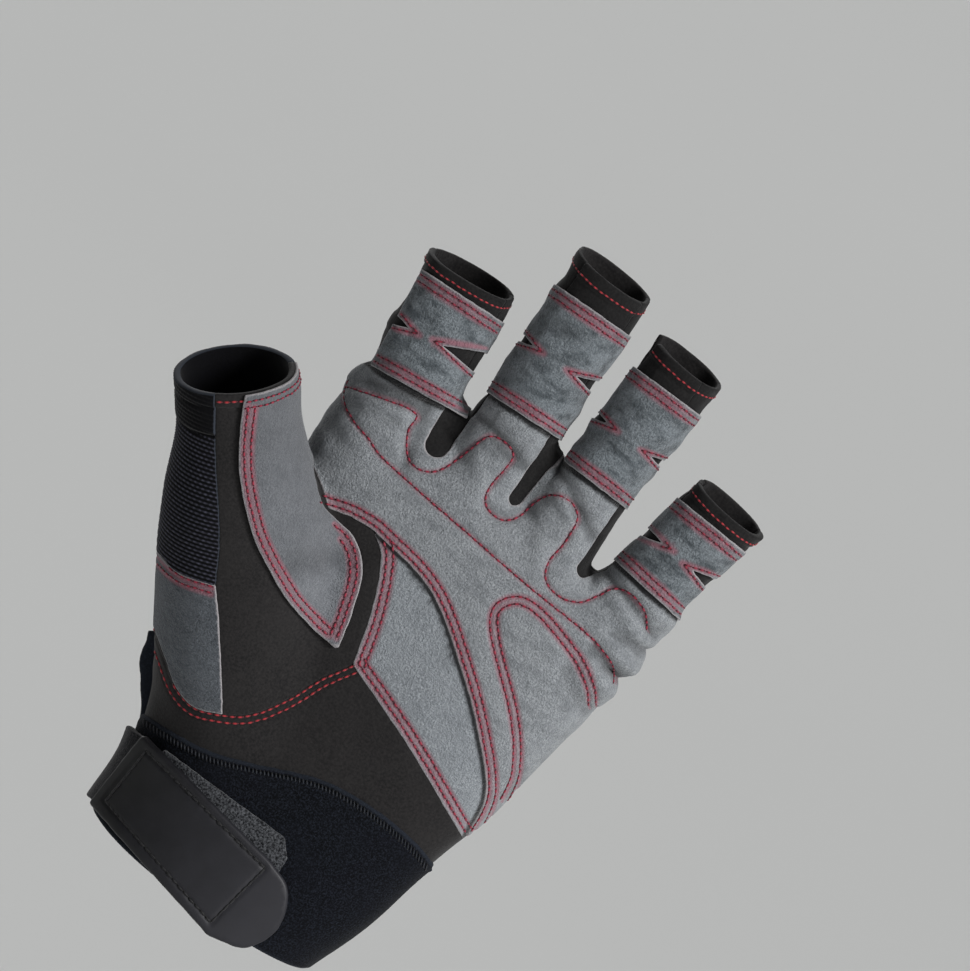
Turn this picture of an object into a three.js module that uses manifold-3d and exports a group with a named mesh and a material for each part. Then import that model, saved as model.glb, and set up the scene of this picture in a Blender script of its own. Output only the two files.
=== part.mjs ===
// A left-hand sailing glove with open finger ends, standing filled out as it is when worn.
// Grey suede covers the palm side. Black fabric runs between the fingers, over the back and
// round the thumb, whose back is ribbed knit. A neoprene cuff is closed by a rubber tab.
// The hand's axis is +Z towards the fingertips, the palm faces -Y and the thumb points to -X.
// The origin is the centre of the wrist opening. All lengths are in millimetres.

import * as THREE from "three";
import { mergeVertices } from "three/addons/utils/BufferGeometryUtils.js";
import Module from "manifold-3d";

const wasm = await Module();
wasm.setup();
const unite = (solids) => wasm.Manifold.union(solids);

// Driving dimensions
const fingerSpan = 100; // across the four finger openings
const palmReach = 100; // wrist opening to the crease under the fingers
const palmDepth = 27; // inside, front to back through the palm
const wristDepth = 41; // inside, front to back through the cuff
const fingerDepth = 17.5; // inside, front to back through a finger
const thumbDepth = 24; // inside, front to back through the thumb
const thumbForward = 24; // how far the thumb's opening stands in front of the palm
const leanAngle = 13; // degrees between the hand's axis and the plane that the seams are drawn in

const fabric = 1.3; // wall of the base fabric
const suede = 1.0; // suede patch laid on the base fabric
const neoprene = 2.2; // wall of the cuff
const loopTape = 1.2; // loop pad that the tab sticks to
const bandTape = 1.8; // band that carries the tab round the wrist
const rubber = 2.2; // rubber tab
const seamGap = 0.3; // clearance between neighbouring pieces

// Shares: hundredths of fingerSpan along x, and of palmReach along z
const atX = (share) => (share * fingerSpan) / 100;
const atZ = (share) => (share * palmReach) / 100;
const at = ([x, z]) => new THREE.Vector2(atX(x), atZ(z));
const drawn = (shares) => shares.map(at);

// Section tables

// The hand's inside: where each section's left and right ends lie, in shares, and its half
// depth, as a share of wristDepth on the first rows and of palmDepth on the others
const wristRows = [
  { left: -28.6, leftZ: 1, right: 29.4, rightZ: -1, depth: 0.5, square: 2.2 },
  { left: -29, leftZ: 15, right: 34.8, rightZ: 14, depth: 0.46, square: 2.2 },
];
const palmRows = [
  { left: -33.6, leftZ: 30, right: 38.6, rightZ: 31, depth: 0.62, square: 2.3 },
  { left: -36.4, leftZ: 38, right: 41, rightZ: 40, depth: 0.59, square: 2.4 },
  { left: -35.2, leftZ: 56, right: 44.6, rightZ: 54, depth: 0.56, square: 2.5 },
  { left: -35.2, leftZ: 76, right: 47.6, rightZ: 74, depth: 0.52, square: 2.6 },
  { left: -36, leftZ: 98, right: 50.4, rightZ: 92, depth: 0.46, square: 2.7 },
  { left: -36, leftZ: 108, right: 51.6, rightZ: 101, depth: 0.39, square: 2.6 },
  { left: -35.6, leftZ: 114, right: 51.4, rightZ: 106, depth: 0.3, square: 2.4 },
  { left: -35, leftZ: 118, right: 50.6, rightZ: 109.5, depth: 0.16, square: 2.2 },
];

// Each finger's inside: the ends of its sections, and half depth as a share of fingerDepth
const fingerRows = {
  index: [
    { left: -34.4, leftZ: 92, right: -13, rightZ: 92, depth: 0.52 },
    { left: -34.6, leftZ: 117, right: -15.8, rightZ: 118, depth: 0.52 },
    { left: -36.2, leftZ: 131, right: -17.4, rightZ: 132, depth: 0.5 },
    { left: -38.2, leftZ: 146.8, right: -18.6, rightZ: 148, depth: 0.48 },
  ],
  middle: [
    { left: -10.6, leftZ: 94, right: 9.2, rightZ: 94, depth: 0.54 },
    { left: -9.2, leftZ: 128, right: 7.8, rightZ: 128, depth: 0.53 },
    { left: -9.9, leftZ: 146, right: 7.3, rightZ: 145.5, depth: 0.51 },
    { left: -10.9, leftZ: 166, right: 7, rightZ: 165, depth: 0.48 },
  ],
  ring: [
    { left: 11.2, leftZ: 92, right: 30.4, rightZ: 91, depth: 0.51 },
    { left: 13.4, leftZ: 125.5, right: 29, rightZ: 124.5, depth: 0.5 },
    { left: 14.2, leftZ: 141, right: 29.8, rightZ: 140, depth: 0.48 },
    { left: 14.8, leftZ: 159.8, right: 30.9, rightZ: 158.4, depth: 0.46 },
  ],
  pinky: [
    { left: 31.6, leftZ: 90, right: 49, rightZ: 87, depth: 0.47 },
    { left: 35.8, leftZ: 113, right: 51.8, rightZ: 110, depth: 0.46 },
    { left: 38.4, leftZ: 125.5, right: 54.2, rightZ: 122.5, depth: 0.44 },
    { left: 40.8, leftZ: 138.8, right: 57.5, rightZ: 136.6, depth: 0.42 },
  ],
};

// The thumb's inside, from its root in the palm to its opening: centre and half width in
// shares, forward as a share of thumbForward, and half depth as a share of thumbDepth
const thumbRows = [
  { x: -13, z: 33, half: 15, forward: 0.08, depth: 0.56 },
  { x: -24.5, z: 49, half: 17.5, forward: 0.3, depth: 0.64 },
  { x: -35.4, z: 67.5, half: 18.4, forward: 0.5, depth: 0.64 },
  { x: -44.4, z: 78.6, half: 15.8, forward: 0.72, depth: 0.58 },
  { x: -52.6, z: 89.4, half: 12.6, forward: 0.87, depth: 0.52 },
  { x: -60, z: 98.9, half: 12.2, forward: 1, depth: 0.5 },
];

const palmSides = 26;
const fingerSides = 16;
const thumbSides = 18;
const fingerSquare = 2.3; // 2 is an ellipse, and more is squarer
const thumbSquare = 2.1;
const openEnd = 12; // how far the inside runs past an open end, to cut it open

// Sections and lofts

const lean = THREE.MathUtils.degToRad(leanAngle);
const handAxis = new THREE.Vector3(0, -Math.tan(lean), 1).normalize();
const palmCentreY = (z) => -Math.tan(lean) * z;

// A section across the hand, with its directions, half width, half depth and squareness
function acrossSection(row, halfDepth, square) {
  const left = new THREE.Vector3(atX(row.left), 0, atZ(row.leftZ));
  const right = new THREE.Vector3(atX(row.right), 0, atZ(row.rightZ));
  const centre = left.clone().add(right).multiplyScalar(0.5);
  centre.y = palmCentreY(centre.z);
  const across = right.clone().sub(left).normalize();
  const back = handAxis.clone().cross(across).normalize();
  return { centre, across, back, half: left.distanceTo(right) / 2, halfDepth, square };
}

const handSections = [
  ...wristRows.map((row) => acrossSection(row, row.depth * wristDepth, row.square)),
  ...palmRows.map((row) => acrossSection(row, row.depth * palmDepth, row.square)),
];

const fingerSections = {};
for (const [name, rows] of Object.entries(fingerRows)) {
  fingerSections[name] = rows.map((row) =>
    acrossSection(row, row.depth * fingerDepth, fingerSquare)
  );
}

function thumbCentre(row) {
  const z = atZ(row.z);
  return new THREE.Vector3(atX(row.x), palmCentreY(z) - row.forward * thumbForward, z);
}

const thumbMiddle = thumbCentre(thumbRows[2]);
const thumbAxis = thumbCentre(thumbRows.at(-1)).sub(thumbMiddle).normalize();
const thumbAcross = thumbAxis.clone().cross(new THREE.Vector3(0, -1, 0)).normalize();
const thumbBack = thumbAxis.clone().cross(thumbAcross).normalize();
const thumbSections = thumbRows.map((row) => ({
  centre: thumbCentre(row),
  across: thumbAcross,
  back: thumbBack,
  half: atX(row.half),
  halfDepth: row.depth * thumbDepth,
  square: thumbSquare,
}));

// The points round a section, its half width and depth grown by a wall
function sectionPoints(section, sides, grow) {
  const bend = (value) => Math.sign(value) * Math.abs(value) ** (2 / section.square);
  return Array.from({ length: sides }, (_, i) => {
    const angle = (2 * Math.PI * (i + 0.5)) / sides;
    return section.centre
      .clone()
      .addScaledVector(section.across, (section.half + grow) * bend(Math.cos(angle)))
      .addScaledVector(section.back, (section.halfDepth + grow) * bend(Math.sin(angle)));
  });
}

// A copy of the end section, moved straight on past it
function beyond(before, end, distance) {
  const step = end.centre.clone().sub(before.centre).normalize();
  return { ...end, centre: end.centre.clone().addScaledVector(step, distance) };
}

// A closed geometry as a solid that can be joined and cut
function toSolid(geometry) {
  geometry.deleteAttribute("normal");
  geometry.deleteAttribute("uv");
  const merged = mergeVertices(geometry, 1e-4);
  const mesh = new wasm.Mesh({
    numProp: 3,
    vertProperties: new Float32Array(merged.attributes.position.array),
    triVerts: new Uint32Array(merged.index.array),
  });
  return new wasm.Manifold(mesh);
}

// A closed tube through the sections, with a fan of triangles over each end
function loft(sections, sides, grow) {
  const rings = sections.map((section) => sectionPoints(section, sides, grow));
  const points = [...rings.flat(), sections[0].centre, sections.at(-1).centre];
  const top = (rings.length - 1) * sides;
  const firstCentre = top + sides;
  const lastCentre = firstCentre + 1;
  const index = [];
  for (let i = 0; i < sides; i++) {
    const next = (i + 1) % sides;
    for (let low = 0; low < top; low += sides) {
      index.push(low + i, low + next, low + next + sides);
      index.push(low + i, low + next + sides, low + i + sides);
    }
    index.push(firstCentre, next, i);
    index.push(lastCentre, top + i, top + next);
  }
  const geometry = new THREE.BufferGeometry().setFromPoints(points);
  geometry.setIndex(index);
  return toSolid(geometry);
}

const fingerLoft = (name, grow) => loft(fingerSections[name], fingerSides, grow);
const thumbLoft = (grow) => loft(thumbSections, thumbSides, grow);

// The whole hand's form grown by a wall; open makes it run past the wrist and the tips
function handForm(grow, open = 0) {
  const hand = [...handSections];
  hand.push(beyond(hand.at(-2), hand.pop(), grow));
  if (open) hand.unshift(beyond(hand[1], hand[0], open));
  const tubes = [...Object.values(fingerSections), thumbSections].map((sections) => {
    const end = open ? [beyond(sections.at(-2), sections.at(-1), open)] : [];
    const sides = sections === thumbSections ? thumbSides : fingerSides;
    return loft([...sections, ...end], sides, grow);
  });
  return unite([loft(hand, palmSides, grow), ...tubes]);
}

// Cutters

const outside = 120; // past the glove on every side
const above = 220; // past the fingertips

// A smooth line through a few points in shares
const curved = (shares, steps) => new THREE.SplineCurve(drawn(shares)).getPoints(steps);

// An outline without repeated points, anticlockwise, its sides moved out by grow
const repeated = 0.05; // points nearer than this are taken as one
function outline(points, grow) {
  const kept = points.filter((point, i) => point.distanceTo(points.at(i - 1)) > repeated);
  if (THREE.ShapeUtils.area(kept) < 0) kept.reverse();
  const outward = (from, to) => {
    const side = to.clone().sub(from).normalize();
    return new THREE.Vector2(side.y, -side.x);
  };
  return kept.map((point, i) => {
    const before = outward(kept.at(i - 1), point);
    const both = outward(point, kept[(i + 1) % kept.length]).add(before);
    const reach = Math.min(2 / Math.max(both.lengthSq(), 1), 2);
    return point.clone().addScaledVector(both, grow * reach);
  });
}

// A prism along y from an outline in the plane of the seams
function prism(points, grow = 0, toY = outside) {
  const depth = toY + outside;
  const shape = new THREE.Shape(outline(points, grow));
  const geometry = new THREE.ExtrudeGeometry(shape, { depth, bevelEnabled: false });
  geometry.rotateX(Math.PI / 2);
  geometry.translate(0, toY, 0);
  return toSolid(geometry);
}

// All that lies behind the plane through a point with the given directions
function behind(point, across, axis, shift) {
  const back = axis.clone().cross(across).normalize();
  const geometry = new THREE.BoxGeometry(2 * outside, 2 * outside, 2 * above);
  geometry.translate(0, outside + shift, 0);
  geometry.applyMatrix4(new THREE.Matrix4().makeBasis(across, back, axis));
  geometry.translate(point.x, point.y, point.z);
  return toSolid(geometry);
}

// The back panels start a little behind the middle of the hand and of the thumb
const seamBehind = 0.12; // of palmDepth or thumbDepth
const origin = new THREE.Vector3();
const behindHand = (shift = 0) =>
  behind(origin, new THREE.Vector3(1, 0, 0), handAxis, seamBehind * palmDepth + shift);
const behindThumb = (shift = 0) =>
  behind(thumbMiddle, thumbAcross, thumbAxis, seamBehind * thumbDepth + shift);

const biggest = (solid) => solid.decompose().sort((a, b) => b.volume() - a.volume())[0];

// Seam lines, drawn as they are seen from the palm side

const thenarCorner = [0, 60.2];
const ulnarCorner = [42.6, 42.2];
const thumbWeb = [-27, 84.8];
const leafTip = [-5.1, 60.9];
const sideCorner = [-36, 57.2];
const arcSeam = curved([[-42, 44], [-29.8, 33.8], [-20, 32], [-10.6, 38], thenarCorner], 12);
const thenarRise = curved([thenarCorner, [-3.5, 72.5], [-8.6, 83.6], [-13.6, 87.6]], 6);
const heelTop = curved([thenarCorner, [20.9, 52.2], ulnarCorner], 3);
const webEdge = curved([thumbWeb, [-20, 87], [-13.6, 87.6]], 3);
const palmEdge = curved(
  [[-13.6, 87.6], [4.2, 83.9], [19.7, 73.7], [31.4, 63.8], [40.7, 53.2], ulnarCorner],
  16
);
const cuffTop = curved(
  [[-46, 22], [-19, 24.1], [-6.4, 27.8], [8.6, 33.8], [22, 35.4], [35.4, 34.2], [46, 30.5]],
  14
);
const leafLeft = curved(
  [[-56, 99], [-51.4, 90.6], [-49.2, 85.2], [-35.1, 70.7], [-20.3, 63.6], leafTip],
  10
);
const leafRight = curved([leafTip, [-7.2, 69.5], [-10.5, 78.2], [-16.2, 83.4], [-25.8, 85.2]], 8);
const knitEdge = curved([[-66, 100], [-59.1, 90.4], [-52.1, 80.5], [-41.7, 67], sideCorner], 8);
const knitFoot = curved([sideCorner, [-44.4, 54.9], [-53, 56.6]], 3);
const sideEdge = curved([sideCorner, [-28.5, 48], [-18.7, 34.8], [-16.4, 31]], 4);

const palmDown = palmEdge.toReversed();

const cuffFrontRegion = (grow) => prism([...cuffTop, ...drawn([[46, -25], [-46, -25]])], grow);
const cuffBackRegion = (grow) =>
  prism(drawn([[-50, 43], [-30, 38], [20, 33], [60, 31], [60, -25], [-50, -25]]), grow);
const heelRegion = (grow) =>
  prism([...arcSeam, ...heelTop, ...drawn([[80, 40], [80, 10], [-95, 10], [-95, 44]])], grow);
const thenarRegion = (grow) => prism([...heelTop, ...palmDown, ...thenarRise.toReversed()], grow);
const sideRegion = (grow) =>
  prism([...sideEdge, ...drawn([[-30, 25], [-95, 30], [-95, 56.6]]), ...knitFoot.toReversed()], grow);
const knitFrontRegion = (grow) =>
  prism([...knitEdge, ...knitFoot, ...drawn([[-95, 56.6], [-95, 125], [-66, 125]])], grow);
const knitBackRegion = (grow) =>
  prism(drawn([[-33, 90], [-33, 40], [-95, 40], [-95, 125], [-40, 125]]), grow);
const thumbBaseRegion = (grow) =>
  prism([...arcSeam, ...thenarRise, ...webEdge.toReversed(), ...drawn([[-60, 85]])], grow);
const leafRegion = prism([...leafLeft, ...leafRight, ...drawn([[-28, 92], [-44, 112], [-56, 112]])]);
const aboveWeb = prism(drawn([[-45, 84.5], [60, 84.5], [60, 140], [-45, 140]]));

// The strip between two fingers: a slot with a round foot that widens into both flanks, and
// the x of its left and right side just above the foot and at the top
const slotRows = {
  index_middle: { foot: [-12.9, 108.6], half: 2.7, low: [-17.2, -8.4], high: [-23.4, -9.6] },
  middle_ring: { foot: [8.2, 110.2], half: 1.9, low: [6.8, 14], high: [4.8, 17.7] },
  ring_pinky: { foot: [30.5, 105.4], half: 2.1, low: [28, 36.8], high: [29.8, 51.9] },
};
const slotTop = 185;
const shoulder = 4.6; // from the foot up to the straight sides
const knee = 0.3 * shoulder; // where the round foot is half wide
function slotRegion({ foot, half, low, high }, grow) {
  const [x, z] = foot;
  const footLine = curved(
    [
      [low[0], z + shoulder],
      [x - half, z + knee],
      foot,
      [x + half, z + knee],
      [low[1], z + shoulder],
    ],
    8
  );
  const top = drawn([[high[1], slotTop], [high[0], slotTop]]);
  return prism([...footLine, ...top], grow).subtract(behindHand(-seamGap));
}

// Each finger's suede patch: its lower and upper edge, and the tip, foot and top of its notches
const patchRows = {
  index: {
    low: [[-46, 116.8], [-5, 121]],
    high: [[-46, 141.6], [-5, 142.8]],
    leftNotch: { tip: [-32.5, 129.5], foot: 126.3, top: 131.4 },
    rightNotch: { tip: [-25.4, 130.4], foot: 129.6, top: 134.9 },
  },
  middle: {
    low: [[-20, 127.6], [11.2, 128.6]],
    high: [[-20, 156.2], [18, 156.4]],
    leftNotch: { tip: [-7.2, 142.2], foot: 139.7, top: 144.7 },
    rightNotch: { tip: [3.2, 142.1], foot: 140.3, top: 145.8 },
  },
  ring: {
    low: [[10.3, 125.4], [40, 123.8]],
    high: [[4, 151.4], [40, 150.6]],
    leftNotch: { tip: [16.7, 137.5], foot: 135.4, top: 139.7 },
    rightNotch: { tip: [27.1, 137], foot: 135, top: 139.7 },
  },
  pinky: {
    low: [[31, 113.9], [62, 109.6]],
    high: [[31, 133.2], [66, 130.8]],
    leftNotch: { tip: [42.4, 122.5], foot: 120.2, top: 124.3 },
    rightNotch: { tip: [49.7, 121.4], foot: 118.6, top: 123.7 },
  },
};
const notchReach = 9; // how far a notch opens past its tip, past the finger's flank
function patchRegion({ low, high, leftNotch, rightNotch }) {
  const mouth = ({ tip, foot, top }, x) => [[x, foot], tip, [x, top]];
  const left = mouth(leftNotch, leftNotch.tip[0] - notchReach).reverse();
  const right = mouth(rightNotch, rightNotch.tip[0] + notchReach);
  return prism(
    drawn([
      ...low,
      [low[1][0], rightNotch.foot],
      ...right,
      [high[1][0], rightNotch.top],
      ...high.toReversed(),
      [high[0][0], leftNotch.top],
      ...left,
      [low[0][0], leftNotch.foot],
    ])
  );
}

// How far up each finger the palm panel reaches, under the patch, and the finger's middle
const sleeveRows = {
  index: { foot: 122, middle: -28 },
  middle: { foot: 131, middle: -2 },
  ring: { foot: 128, middle: 22 },
  pinky: { foot: 116, middle: 46 },
};
const sleeveHalf = 14;
const sleeveFlare = 4; // on each side, at the top
function sleeveRegion({ foot, middle }, grow) {
  const [left, right] = [middle - sleeveHalf, middle + sleeveHalf];
  const top = [[right + sleeveFlare, slotTop], [left - sleeveFlare, slotTop]];
  return prism(drawn([[left, foot], [right, foot], ...top]), grow);
}

// The pieces, by name

const pieces = new Map();
const keep = (name, solid) => pieces.set(name, biggest(solid));

const inside = handForm(0, openEnd);
let wall = handForm(fabric).subtract(inside);

// Takes a piece out of the base fabric, and leaves a gap round it
function take(name, region) {
  keep(name, wall.intersect(region(0)));
  wall = wall.subtract(region(seamGap));
}

// The cuff is neoprene, so it is cut from a thicker wall, and the base fabric stops above it
const cuffWall = handForm(neoprene).subtract(inside);
keep("cuff_front", cuffWall.intersect(cuffFrontRegion(0)).subtract(behindHand(-seamGap)));
keep("cuff_back", cuffWall.intersect(cuffBackRegion(0)).intersect(behindHand()));
wall = wall.subtract(cuffFrontRegion(seamGap).subtract(behindHand()));
wall = wall.subtract(cuffBackRegion(seamGap).intersect(behindHand(-seamGap)));

for (const [name, row] of Object.entries(slotRows)) {
  take(`fourchette_${name}`, (grow) => slotRegion(row, grow));
}

take("thumb_knit", (grow) =>
  knitBackRegion(grow)
    .intersect(behindThumb(-grow))
    .add(knitFrontRegion(grow))
    .subtract(behindHand(-seamGap))
);
take("back_panel", (grow) => behindHand(-grow));
take("heel_panel", heelRegion);
take("thumb_side_panel", sideRegion);
take("thenar_panel", thenarRegion);
take("thumb_gusset", (grow) =>
  thumbLoft(fabric + seamGap + grow)
    .subtract(prism([...palmEdge, ...drawn([[80, 42], [80, 120], [-13.6, 120]])]))
    .add(thumbBaseRegion(grow))
);
for (const [name, row] of Object.entries(sleeveRows)) {
  take(`${name}_sleeve`, (grow) => sleeveRegion(row, grow));
}
keep("palm_panel", wall);

// Suede patches lie on the base fabric, one round each finger and a leaf on the thumb
const patchWall = handForm(fabric + seamGap + suede).subtract(handForm(fabric + seamGap, openEnd));
for (const [name, row] of Object.entries(patchRows)) {
  const others = Object.keys(patchRows).filter((other) => other !== name);
  const beside = unite(others.map((other) => fingerLoft(other, fabric + suede + 2 * seamGap)));
  const own = fingerLoft(name, fabric + suede + 2 * seamGap).intersect(patchRegion(row));
  keep(`${name}_patch`, patchWall.intersect(own).subtract(behindHand(-seamGap)).subtract(beside));
}
const besideThumb = loft(handSections, palmSides, fabric + suede + 2 * seamGap).intersect(aboveWeb);
keep("thumb_patch", patchWall.intersect(leafRegion).subtract(behindThumb()).subtract(besideThumb));

// The strap: a band round the back of the wrist, whose rubber tab lies on the loop pad
const padIn = neoprene + seamGap;
const padOut = padIn + loopTape;
const tabIn = padOut + seamGap;
const bandOut = padIn + bandTape;
const strapLayer = (from, to) => handForm(to, 2 * openEnd).subtract(handForm(from, 3 * openEnd));

const padRegion = prism(drawn([[-24, 19.6], [9.6, 18.9], [12.6, 15.5], [13.4, 4], [-24, 8]]), 0, 0);
keep("strap_loop_pad", strapLayer(padIn, padOut).intersect(padRegion));

const tabLeft = drawn([[-30.2, 0.4], [-29.2, 19.2]]);
const tabEnd = curved([[10.4, 12.6], [16.9, 9.7], [20.2, 1], [16.4, -7.4], [8, -9]], 12);
keep("strap_tab", strapLayer(tabIn, tabIn + rubber).intersect(prism([...tabEnd, ...tabLeft], 0, 0)));

const bandEdges = drawn([[-60, 20], [-28, 18.8], [24, 17], [24, 1], [-28, 1], [-60, 2]]);
const bandLayer = strapLayer(padIn, bandOut).intersect(prism(bandEdges));
const bandFront = drawn([[-30.6, 60], [-30.6, -30], [60, -30], [60, 60]]);
const bandStart = 4; // how far behind the seams' plane the band leaves the tab
keep("strap_band", bandLayer.subtract(prism(bandFront, 0, bandStart)));

// Materials, by the finish of each piece
const finishes = {
  suede: { color: 0x6b7076, roughness: 0.95 },
  black_fabric: { color: 0x1f1e1f, roughness: 0.85 },
  rib_knit: { color: 0x14151f, roughness: 0.9 },
  neoprene: { color: 0x171a24, roughness: 0.9 },
  rubber: { color: 0x2a2a2e, roughness: 0.55 },
  tape: { color: 0x26272b, roughness: 1 },
};
const suedePanels = ["palm_panel", "thenar_panel", "thumb_side_panel"];
function finishOf(name) {
  if (suedePanels.includes(name) || name.endsWith("_patch")) return "suede";
  if (name === "thumb_knit") return "rib_knit";
  if (name.startsWith("cuff")) return "neoprene";
  if (name === "strap_tab") return "rubber";
  if (name.startsWith("strap")) return "tape";
  return "black_fabric";
}

function toMesh(name, solid) {
  const { vertProperties, triVerts } = solid.getMesh();
  const geometry = new THREE.BufferGeometry();
  geometry.setAttribute("position", new THREE.BufferAttribute(new Float32Array(vertProperties), 3));
  geometry.setIndex(new THREE.BufferAttribute(new Uint32Array(triVerts), 1));
  geometry.computeVertexNormals();
  const finish = finishes[finishOf(name)];
  const mesh = new THREE.Mesh(geometry, new THREE.MeshStandardMaterial({ metalness: 0, ...finish }));
  mesh.name = name;
  return mesh;
}

// The hand's axis leans out of the plane that the seams are drawn in, and this stands it upright
const glove = new THREE.Group();
glove.rotation.x = -lean;
for (const [name, solid] of pieces) glove.add(toMesh(name, solid));

export default glove;
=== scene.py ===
"""A left-hand sailing glove with open finger ends: panels, patches, stitching and strap.

The soft form is worked out as a distance field from the same section tables as the part's
source. Each panel is cut out of that form's surface and given its own thickness.
Lengths are in millimetres, and are turned into metres when a mesh is made.
"""

import math

import bpy
import numpy as np
from mathutils import Matrix, Vector
from mathutils.bvhtree import BVHTree


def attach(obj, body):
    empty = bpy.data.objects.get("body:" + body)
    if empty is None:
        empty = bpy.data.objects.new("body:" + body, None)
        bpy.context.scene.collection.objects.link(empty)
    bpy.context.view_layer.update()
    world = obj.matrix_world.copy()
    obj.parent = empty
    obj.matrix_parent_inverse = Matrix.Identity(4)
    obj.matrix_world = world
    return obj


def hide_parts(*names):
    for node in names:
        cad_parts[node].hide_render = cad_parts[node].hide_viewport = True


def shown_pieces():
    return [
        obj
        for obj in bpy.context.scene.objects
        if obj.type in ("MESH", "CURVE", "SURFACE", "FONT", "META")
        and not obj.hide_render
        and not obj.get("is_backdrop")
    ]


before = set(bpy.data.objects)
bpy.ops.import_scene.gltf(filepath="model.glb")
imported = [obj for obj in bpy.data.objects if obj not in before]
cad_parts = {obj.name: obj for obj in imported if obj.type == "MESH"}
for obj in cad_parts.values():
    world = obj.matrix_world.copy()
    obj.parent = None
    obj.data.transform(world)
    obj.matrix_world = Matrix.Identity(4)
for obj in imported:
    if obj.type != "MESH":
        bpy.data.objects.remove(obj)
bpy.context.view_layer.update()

MM = 0.001
LEAN = math.radians(13)  # between the hand's axis and the plane that the seams are drawn in
COS, SIN = math.cos(LEAN), math.sin(LEAN)
STEP = 0.5  # spacing of the grid that holds the form, and so of the surface's points
GAP = 0.3  # between neighbouring panels
RAGGED = 0.1  # how unevenly the cloth is cut
rng = np.random.default_rng(5)


# Driving sizes, as in the part's source
WRIST_DEPTH, PALM_DEPTH, FINGER_DEPTH, THUMB_DEPTH = 41, 27, 17.5, 24
THUMB_FORWARD = 24
SEAM_BEHIND = 0.12
FABRIC, SUEDE, NEOPRENE, LOOP_TAPE, BAND_TAPE, RUBBER = 1.3, 1.0, 2.2, 1.2, 1.8, 2.2

# Sections: left x and z, right x and z, half depth, squareness
HAND_ROWS = [
    (-28.6, 1, 29.4, -1, 0.5 * WRIST_DEPTH, 2.2),
    (-29, 15, 34.8, 14, 0.46 * WRIST_DEPTH, 2.2),
    (-33.6, 30, 38.6, 31, 0.62 * PALM_DEPTH, 2.3),
    (-36.4, 38, 41, 40, 0.59 * PALM_DEPTH, 2.4),
    (-35.2, 56, 44.6, 54, 0.56 * PALM_DEPTH, 2.5),
    (-35.2, 76, 47.6, 74, 0.52 * PALM_DEPTH, 2.6),
    (-36, 98, 50.4, 92, 0.46 * PALM_DEPTH, 2.7),
    (-36, 108, 51.6, 101, 0.39 * PALM_DEPTH, 2.6),
    (-35.6, 114, 51.4, 106, 0.3 * PALM_DEPTH, 2.4),
    (-35, 118, 50.6, 109.5, 0.16 * PALM_DEPTH, 2.2),
]
FINGER_ROWS = {
    "index": [
        (-34.4, 92, -13, 92, 0.52),
        (-34.6, 117, -15.8, 118, 0.52),
        (-36.2, 131, -17.4, 132, 0.5),
        (-38.2, 146.8, -18.6, 148, 0.48),
    ],
    "middle": [
        (-10.6, 94, 9.2, 94, 0.54),
        (-9.2, 128, 7.8, 128, 0.53),
        (-9.9, 146, 7.3, 145.5, 0.51),
        (-10.9, 166, 7, 165, 0.48),
    ],
    "ring": [
        (11.2, 92, 30.4, 91, 0.51),
        (13.4, 125.5, 29, 124.5, 0.5),
        (14.2, 141, 29.8, 140, 0.48),
        (14.8, 159.8, 30.9, 158.4, 0.46),
    ],
    "pinky": [
        (31.6, 90, 49, 87, 0.47),
        (35.8, 113, 51.8, 110, 0.46),
        (38.4, 125.5, 54.2, 122.5, 0.44),
        (40.8, 138.8, 57.5, 136.6, 0.42),
    ],
}
FINGER_SQUARE, THUMB_SQUARE = 2.3, 2.1
# The thumb's sections: x, z, half width, share of its forward reach, half depth
THUMB_ROWS = [
    (-13, 33, 15, 0.08, 0.56 * THUMB_DEPTH),
    (-24.5, 49, 17.5, 0.3, 0.64 * THUMB_DEPTH),
    (-35.4, 67.5, 18.4, 0.5, 0.64 * THUMB_DEPTH),
    (-44.4, 78.6, 15.8, 0.72, 0.58 * THUMB_DEPTH),
    (-52.6, 89.4, 12.6, 0.87, 0.52 * THUMB_DEPTH),
    (-60, 98.9, 12.2, 1, 0.5 * THUMB_DEPTH),
]


# Noise

LATTICE = 24  # random values along each side of a block that repeats
lattice = rng.random((LATTICE, LATTICE, LATTICE))


def noise(points, size, seed=0):
    """Smooth noise from -1 to 1, with lumps of this size."""
    at = points / size + np.array([3.7, 9.1, 5.3]) * (seed + 1)
    cell = np.floor(at).astype(int)
    f = at - cell
    f = f * f * (3 - 2 * f)
    total = np.zeros(len(points))
    for corner in np.ndindex(2, 2, 2):
        weight = np.prod([f[:, k] if corner[k] else 1 - f[:, k] for k in range(3)], axis=0)
        i, j, k = ((cell[:, n] + corner[n]) % LATTICE for n in range(3))
        total += weight * lattice[i, j, k]
    return 2 * total - 1


# Curves and coordinates


def upright(drawn):
    """Points of the drawing's frame, turned so that the hand stands upright."""
    x, y, z = np.moveaxis(np.asarray(drawn, float), -1, 0)
    return np.stack([x, y * COS + z * SIN, z * COS - y * SIN], -1)


LOOK = upright((0, 1, 0))  # the photograph's line of sight
TURN = math.radians(35)  # of the hand in the picture
PICTURE_RIGHT = upright((math.cos(TURN), 0, math.sin(TURN)))
PICTURE_UP = upright((-math.sin(TURN), 0, math.cos(TURN)))


def flat(points):
    """Upright points as x and z in the plane that the seams are drawn in."""
    return np.stack([points[:, 0], SIN * points[:, 1] + COS * points[:, 2]], -1)


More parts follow.
